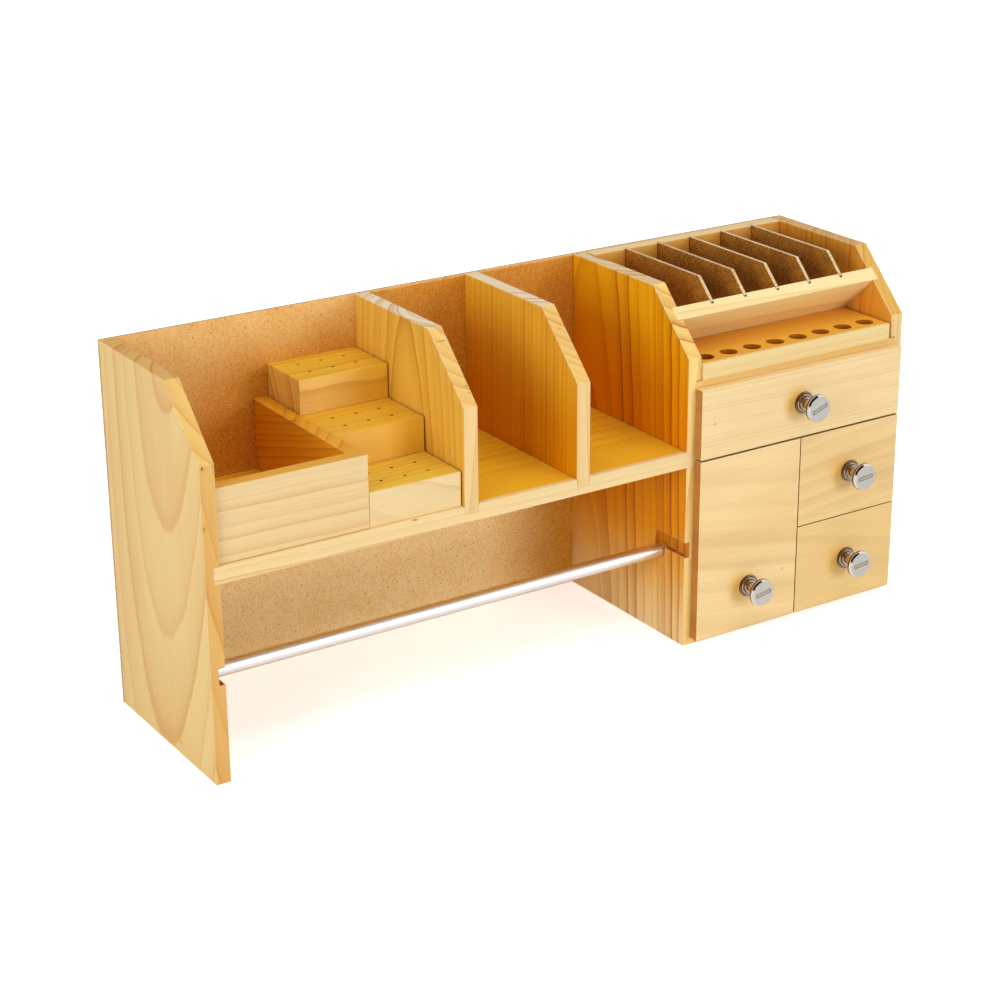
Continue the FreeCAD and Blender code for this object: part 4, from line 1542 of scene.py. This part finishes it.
def turned_mesh(name: str, outline: Sequence[tuple[float, float]], middle: Vector, steps: int) -> Mesh:
    """Turns an outline about a line that comes straight out of the drawer's face, and closes its end.

    Args:
        name: the mesh's name.
        outline: radius and reach of each point in millimetres, from the middle line to the end face's rim.
        middle: where the middle line meets the drawer's face.
        steps: how many facets go round.

    Returns:
        A closed mesh. Its UV map "turning" holds the share of a turn and the length along the outline. Its
        UV map "disc" holds the place from the middle on the end face, which has the second material.
    """
    work = bmesh.new()
    turning = work.loops.layers.uv.new("turning")
    disc = work.loops.layers.uv.new("disc")
    rings = []
    for radius, reach in outline:
        count = steps if radius > 0 else 1
        ring = []
        for step in range(count):
            angle = 2 * math.pi * step / steps
            x = middle.x + radius * MM * math.cos(angle)
            z = middle.z + radius * MM * math.sin(angle)
            ring.append(work.verts.new((x, middle.y - reach * MM, z)))
        rings.append(ring)
    along = [0.0]
    for (r0, o0), (r1, o1) in zip(outline, outline[1:]):
        along.append(along[-1] + math.hypot(r1 - r0, o1 - o0) * MM)
    for row, (inner, outer) in enumerate(zip(rings, rings[1:])):
        for step in range(steps):
            after = (step + 1) % steps
            corners = [
                (inner[step % len(inner)], step, row), (inner[after % len(inner)], step + 1, row),
                (outer[after % len(outer)], step + 1, row + 1), (outer[step % len(outer)], step, row + 1),
            ]
            unique = []
            for corner in corners:
                if all(corner[0] is not kept[0] for kept in unique):
                    unique.append(corner)
            face = work.faces.new([corner[0] for corner in unique])
            face.smooth = True
            for loop, (_, turn, point) in zip(face.loops, unique):
                loop[turning].uv = (turn / steps, along[point])
    end = work.faces.new(rings[-1])
    end.material_index = 1
    for loop in end.loops:
        loop[disc].uv = (loop.vert.co.x - middle.x, loop.vert.co.z - middle.z)
    bmesh.ops.recalc_face_normals(work, faces=work.faces)
    mesh = worked_mesh(name, work)
    mesh.set_sharp_from_angle(angle=math.radians(28.0))
    return mesh


@dataclass(frozen=True)
class KnobFace:
    """The knob's flat face: brushed metal with the outline of a plain slot cut into it."""

    tilt: float = 12.0
    slot_half: tuple[float, float] = (7.2 * MM, 1.1 * MM)
    line: float = 0.28 * MM
    spread: Place = (0.1, 1.0, 1.0)
    scale: float = 6000.0
    base: Colour = (0.63, 0.62, 0.59)
    floor: Colour = (0.42, 0.37, 0.30)
    groove: Colour = (0.12, 0.09, 0.06)

    def material(self, kit: ShaderKit, name: str) -> Material:
        """Builds the face's metal.

        Args:
            kit: the shared shader groups.
            name: the material's name.

        Returns:
            The finished material.
        """
        material, sketch, shader = new_material(name)
        disc = sketch.add("ShaderNodeUVMap", uv_map="disc").outputs[0]
        turn = (0.0, 0.0, math.radians(-self.tilt))
        place = sketch.add("ShaderNodeMapping", {"Vector": disc, "Rotation": turn}).outputs[0]
        folded = sketch.add("ShaderNodeVectorMath", {0: place}, operation="ABSOLUTE").outputs[0]
        beyond = sketch.vector("SUBTRACT", folded, (*self.slot_half, 0.0))
        away = sketch.length(sketch.vector("MAXIMUM", beyond, (0.0, 0.0, 0.0)))
        ring = sketch.math("ABSOLUTE", sketch.minus(away, 2 * self.line))
        groove = sketch.spread(ring, self.line * 0.7, self.line * 1.5, 1.0, 0.0)
        lines = sketch.group(kit.lines, {"Place": place, "Spread": self.spread, "Scale": self.scale})
        shade = sketch.spread(lines["Line"], 0.3, 0.8, 0.0, 0.5)
        colour = sketch.blend(shade, self.base, self.floor)
        inside = sketch.spread(away, 0.0, self.line, 0.8, 0.0)
        colour = sketch.blend(inside, colour, self.floor)
        colour = sketch.blend(groove, colour, self.groove)
        rough = sketch.spread(lines["Smudge"], 0.3, 0.7, 0.22, 0.32)
        normal = sketch.bump(sketch.minus(sketch.times(lines["Line"], 0.1), groove), 0.5)
        sketch.fill(shader, {"Base Color": colour, "Metallic": 1.0, "Roughness": rough, "Normal": normal})
        return material


@dataclass
class Drawers:
    """Four drawers: overlay fronts, boxes, knobs and knob screws."""

    kit: ShaderKit
    ease: float = 0.5 * MM
    closing: float = 0.4 * MM
    box_ease: float = 0.35 * MM
    knob_steps: int = 72
    knob: KnobProfile = field(default_factory=KnobProfile)
    slot_tilts: tuple[float, ...] = (20.0, 10.0, 5.0, 5.0)
    knob_shadow_shift: Place = (-9 * MM, 0.0, 2 * MM)
    knob_shadow_radius: float = 6.5
    knob_shadow_colour: Colour = (0.88, 0.49, 0.09)

    def fronts(self) -> dict[str, PineFinish]:
        """The finish of each drawer's front, by drawer."""
        lengthwise = GrainRun.LENGTHWISE
        tan: Colour = (0.72, 0.44, 0.17)
        end: Colour = (0.62, 0.36, 0.14)
        # dark: dirt and painted shadow in the gaps between the drawer fronts.
        dark: Colour = (0.09, 0.035, 0.004)
        return {
            "top_drawer": PineFinish(
                lengthwise, heart=(-110, 20), ring=3.3, lean=(0.01, 0.0), wander=5, ripple=0.9, late=0.5,
                softness=0.2, seed=111.0, early_colour=(0.93, 0.70, 0.37), late_colour=(0.74, 0.46, 0.15),
                end_colour=(0.60, 0.38, 0.17), seam_dirt_and_shadow_colour=dark,
                knots=(Knot((129.6, -81.2, 206.6), 0.8, halo=0.6, colour=(0.6, 0.34, 0.12)),),
            ),
            "tall_drawer": PineFinish(
                lengthwise, heart=(-85, -25), ring=19, lean=(0.16, 0.0), wander=7, late=1.0, softness=0.3,
                seed=121.0, blush=0.9, early_colour=(0.93, 0.68, 0.33), blush_colour=(0.88, 0.58, 0.25),
                late_colour=tan, end_colour=(0.60, 0.36, 0.14), seam_dirt_and_shadow_colour=dark,
                knots=(Knot((210.7, -81.2, 53.5), 0.8, halo=0.5, colour=(0.55, 0.32, 0.12)),),
            ),
            "upper_small_drawer": PineFinish(
                lengthwise, heart=(70, -22), ring=15, lean=(-0.1, 0.0), wander=9, late=0.8, softness=0.3,
                seed=131.0, blush=0.7, early_colour=(0.90, 0.64, 0.29), late_colour=tan, end_colour=end,
                knots=(
                    Knot((236.2, -81.2, 141.9), 1.6, (0.6, 1.0, 1.6), halo=0.35, colour=(0.8, 0.56, 0.26)),
                ),
            ),
            "lower_small_drawer": PineFinish(
                lengthwise, heart=(48, -22), ring=14, lean=(0.24, 0.0), wander=8, late=0.9, softness=0.3,
                seed=141.0, blush=0.8, early_colour=(0.86, 0.60, 0.24), late_colour=tan, end_colour=end,
            ),
        }

    def build(self) -> None:
        """Makes and dresses every drawer."""
        # The nickel's dark rings are painted dark reflection lines.
        nickel = MetalFinish(
            base=(0.80, 0.77, 0.74), shade=(0.45, 0.40, 0.34), roughness=0.12, scale=4000.0,
            on_surface=True, dark_rings=(11.0 * MM, 12.6 * MM, 16.1 * MM, 20.0 * MM, 39.5 * MM, 40.1 * MM),
        )
        turned = nickel.material(self.kit, "knob_nickel")
        steel = MetalFinish(base=(0.62, 0.62, 0.62), roughness=0.3).material(self.kit, "screw_steel")
        sheet = HardboardFinish(BoardFace.SMOOTH, "XY", base=(0.42, 0.22, 0.09), dark=(0.30, 0.14, 0.05))
        floor = sheet.material(self.kit, "drawer_floor")
        for (name, finish), tilt in zip(self.fronts().items(), self.slot_tilts):
            # Each front gets a painted amber shadow beside its knob.
            finish = replace(finish, knots=(*finish.knots, self.knob_shadow_mark(name)))
            PineBoards(self.kit, {name + "_front": finish}, self.ease).build()
            if name != "top_drawer":
                self.close_up(name + "_front")
            self.build_box(name, finish.seed, floor)
            self.build_knob(name, turned, KnobFace(tilt).material(self.kit, name + "_knob_face"))
            screw = frame["nodes"][name + "_knob_screw"].data
            screw.materials.clear()
            screw.materials.append(steel)

    def close_up(self, node: str) -> None:
        """Draws a lower front out a little towards those beside it, whose gaps look narrower than the top.

        Args:
            node: the front's CAD node. Its board was built before.
        """
        boxes = [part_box(name + "_front") for name in self.fronts() if name != "top_drawer"]
        low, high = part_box(node)
        vertices = bpy.data.objects[node + "_board"].data.vertices
        for axis in (0, 2):
            down = self.closing if low[axis] > min(box[0][axis] for box in boxes) + MM else 0.0
            up = self.closing if high[axis] < max(box[1][axis] for box in boxes) - MM else 0.0
            for vertex in vertices:
                share = (vertex.co[axis] - low[axis]) / (high[axis] - low[axis])
                vertex.co[axis] += share * up - (1 - share) * down

    def knob_shadow_mark(self, name: str) -> Knot:
        """A painted amber shadow beside a knob, up and to its left."""
        middle = middle_of(name + "_knob") + Vector(self.knob_shadow_shift)
        middle.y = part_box(name + "_front")[0].y
        return Knot(tuple(middle / MM), self.knob_shadow_radius, halo=0.85, eye=0.0, halo_colour=self.knob_shadow_colour)

    def build_box(self, name: str, seed: float, floor: Material) -> None:
        """The box behind a front: two sides, a back and a hardboard floor."""
        side = PineFinish(GrainRun.FRONT_TO_BACK, heart=(40, 60), seed=seed + 1)
        back = PineFinish(GrainRun.LENGTHWISE, heart=(30, -60), seed=seed + 2)
        boards = {name + "_left_side": side, name + "_right_side": side, name + "_back": back}
        PineBoards(self.kit, boards, self.box_ease).build()
        sheet = eased_copy(name + "_bottom", name + "_floor", self.box_ease)
        stand_for(sheet, name + "_bottom", floor)

    def build_knob(self, name: str, nickel: Material, face: Material) -> None:
        """Turns the knob about the middle of its CAD node."""
        node = name + "_knob"
        middle = middle_of(node)
        middle.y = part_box(node)[1].y
        mesh = turned_mesh(node + "_mesh", self.knob.points(), middle, self.knob_steps)
        stand_for(mesh_piece(name + "_turned_knob", mesh), node, nickel, face)


@dataclass
class TornFibres:
    """Fibres torn from the hardboard and the panels' back corners, seen in the bays' far corners."""

    kit: ShaderKit
    pitch: float = 0.8 * MM
    share: float = 0.07
    sliver: float = 4.5 * MM
    radius: float = 0.28 * MM
    sheet_gap: float = 0.3 * MM
    wall_gap: float = 0.2 * MM
    top_margin: float = 8 * MM
    foot_margin: float = 12 * MM
    seed: int = 4

    def build(self) -> None:
        """Scatters the slivers down the far corners of the bays."""
        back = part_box("back_panel")[0].y - self.sheet_gap
        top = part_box("back_panel")[1].z - self.top_margin
        ends = []
        for node in ("left_end_panel", "left_partition", "right_partition"):
            low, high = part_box(node)
            foot = max(low.z, 0.0) + self.foot_margin
            sides = (low.x - self.wall_gap, high.x + self.wall_gap)
            for x in sides[1:] if node == "left_end_panel" else sides:
                ends += [Vector((x, back, foot)), Vector((x, back, top))]
        pale = PineFinish(GrainRun.FRONT_TO_BACK, late=0.2, bay_shade_colour=(0.98, 0.85, 0.6))
        values = {
            "Pitch": self.pitch, "Share": self.share, "Sliver Length": self.sliver,
            "Sliver Radius": self.radius, "Seed": self.seed,
            "Material": pale.material(self.kit, "torn_fibre", Vector()),
        }
        fibres = plain_mesh(torn_fibres_tree().piece("torn_fibres", ends, values, in_pairs=True))
        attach(fibres, "carcass")
        LOG.info("torn fibres: %d faces", len(fibres.data.polygons))


@dataclass
class Studio:
    """Pale floor, white surround, soft lamps and the camera of the picture."""

    camera_place: Place = (-1.01393, -1.51432, 0.86294)
    camera_yaw: float = 33.577
    camera_pitch: float = -20.815
    camera_roll: float = -0.129
    lens: float = 81.975
    shift: tuple[float, float] = (-0.02721, -0.03385)
    aim: Place = (0.0, 0.0, 0.15)
    floor_radius: float = 6.0
    floor_colour: Colour = (0.88, 0.88, 0.88)
    floor_glow: float = 0.62
    mirrored_glow: float = 0.15
    shadow_reach: tuple[float, float] = (0.42, 0.85)
    world_light: float = 0.34
    card_colour: Colour = (0.03, 0.025, 0.02)
    card_sheets: tuple[tuple[Place, ...], ...] = (
        ((-2.9, -3.0, 0.9), (-2.9, 1.0, 0.9), (-2.9, 1.0, 3.2), (-2.9, -3.0, 3.2)),
        ((-2.9, -3.0, 3.2), (-2.9, 1.0, 3.2), (1.6, 1.0, 3.2), (1.6, -3.0, 3.2)),
    )

    def build(self) -> None:
        """Sets up everything around the object."""
        self.build_floor()
        self.build_card()
        self.build_world()
        self.build_lamps()
        self.build_camera()

    def build_floor(self) -> None:
        """A large round pale floor."""
        work = bmesh.new()
        bmesh.ops.create_circle(work, cap_ends=True, radius=self.floor_radius, segments=96)
        floor = mesh_piece("floor", worked_mesh("floor", work))
        material, sketch, shader = new_material("floor_white")
        sketch.fill(shader, {"Base Color": self.floor_colour, "Roughness": 0.9, "Specular IOR Level": 0.1})
        away = sketch.length(sketch.add("ShaderNodeTexCoord").outputs["Object"])
        strength = sketch.spread(away, *self.shadow_reach, self.floor_glow, 1.0)
        direct, mirrored = self.rays(sketch)
        strength = sketch.times(strength, direct)
        strength = sketch.plus(strength, sketch.times(mirrored, self.mirrored_glow))
        glow = sketch.add("ShaderNodeEmission", {"Strength": strength})
        both = sketch.add("ShaderNodeAddShader", {0: shader.outputs[0], 1: glow.outputs[0]})
        output = next(node for node in sketch.tree.nodes if node.type == "OUTPUT_MATERIAL")
        sketch.put(output.inputs["Surface"], both.outputs[0])
        floor.data.materials.append(material)

    def rays(self, sketch: NodeSketch) -> tuple[Socket, Socket]:
        """Masks of the rays that come from the camera, and of those from metal or glass."""
        path = sketch.add("ShaderNodeLightPath")
        mirrored = sketch.math("MAXIMUM", path.outputs["Is Glossy Ray"], path.outputs["Is Transmission Ray"])
        return path.outputs["Is Camera Ray"], mirrored

    def build_card(self) -> None:
        """A dark card up at the left and overhead, seen only in metal, as turned edges need to read."""
        work = bmesh.new()
        for corners in self.card_sheets:
            work.faces.new([work.verts.new(corner) for corner in corners])
        card = mesh_piece("dark_card", worked_mesh("dark_card", work))
        material, sketch, shader = new_material("card_dark")
        sketch.fill(shader, {"Base Color": self.card_colour, "Roughness": 1.0, "Specular IOR Level": 0.0})
        card.data.materials.append(material)
        card.visible_camera = False
        card.visible_diffuse = False
        card.visible_shadow = False

    def build_world(self) -> None:
        """White to the camera and in reflections, dimmer as a light."""
        world = bpy.data.worlds.new("studio")
        bpy.context.scene.world = world
        world.use_nodes = True
        world.node_tree.nodes.clear()
        sketch = NodeSketch(world.node_tree)
        strength = sketch.spread(sketch.math("MAXIMUM", *self.rays(sketch)), 0.0, 1.0, self.world_light, 1.0)
        background = sketch.add("ShaderNodeBackground", {"Color": WHITE, "Strength": strength})
        sketch.add("ShaderNodeOutputWorld", {"Surface": background.outputs[0]})

    def lamp(self, name: str, place: Place, width: float, power: float, mirrored: bool = True) -> None:
        """Adds one square soft lamp that points at the object.

        Args:
            name: the lamp's name.
            place: where it hangs.
            width: the length of its sides.
            power: its power in watts.
            mirrored: whether metal shows it.
        """
        light = bpy.data.lights.new(name, "AREA")
        light.shape = "SQUARE"
        light.size = width
        light.energy = power
        lamp = bpy.data.objects.new(name, light)
        lamp.location = place
        lamp.rotation_euler = (Vector(self.aim) - Vector(place)).to_track_quat("-Z", "Y").to_euler()
        lamp.visible_glossy = mirrored
        bpy.context.scene.collection.objects.link(lamp)

    def build_lamps(self) -> None:
        """A soft lamp at the front right, one at the left and a wide one overhead."""
        self.lamp("front", (1.1, -2.9, 0.75), 1.0, 27.5)
        self.lamp("left", (-2.3, -1.0, 0.9), 1.2, 26.0, mirrored=False)
        self.lamp("top", (0.1, -0.4, 2.0), 1.6, 16.0, mirrored=False)

    def build_camera(self) -> None:
        """The camera at the picture's viewing angle."""
        camera = bpy.data.objects.new("camera", bpy.data.cameras.new("camera"))
        camera.data.lens = self.lens
        camera.data.sensor_width = 36.0
        camera.data.shift_x, camera.data.shift_y = self.shift
        camera.matrix_world = (
            Matrix.Translation(self.camera_place)
            @ Matrix.Rotation(math.radians(-self.camera_yaw), 4, "Z")
            @ Matrix.Rotation(math.radians(90.0 + self.camera_pitch), 4, "X")
            @ Matrix.Rotation(math.radians(self.camera_roll), 4, "Z")
        )
        bpy.context.scene.collection.objects.link(camera)
        bpy.context.scene.camera = camera


def main() -> None:
    """Builds the studio and the object's classes in order."""
    logging.basicConfig(level=logging.INFO, format="%(message)s")
    bpy.context.scene.view_settings.view_transform = "Standard"
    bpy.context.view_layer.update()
    Studio().build()
    kit = ShaderKit()
    for part in (Carcass, PartsBin, BurBlocks, Cabinet, DividerRack, HangingRod, Drawers, TornFibres):
        part(kit).build()
        LOG.info("built: %s", part.__name__)


if __name__ == "__main__":
    main()
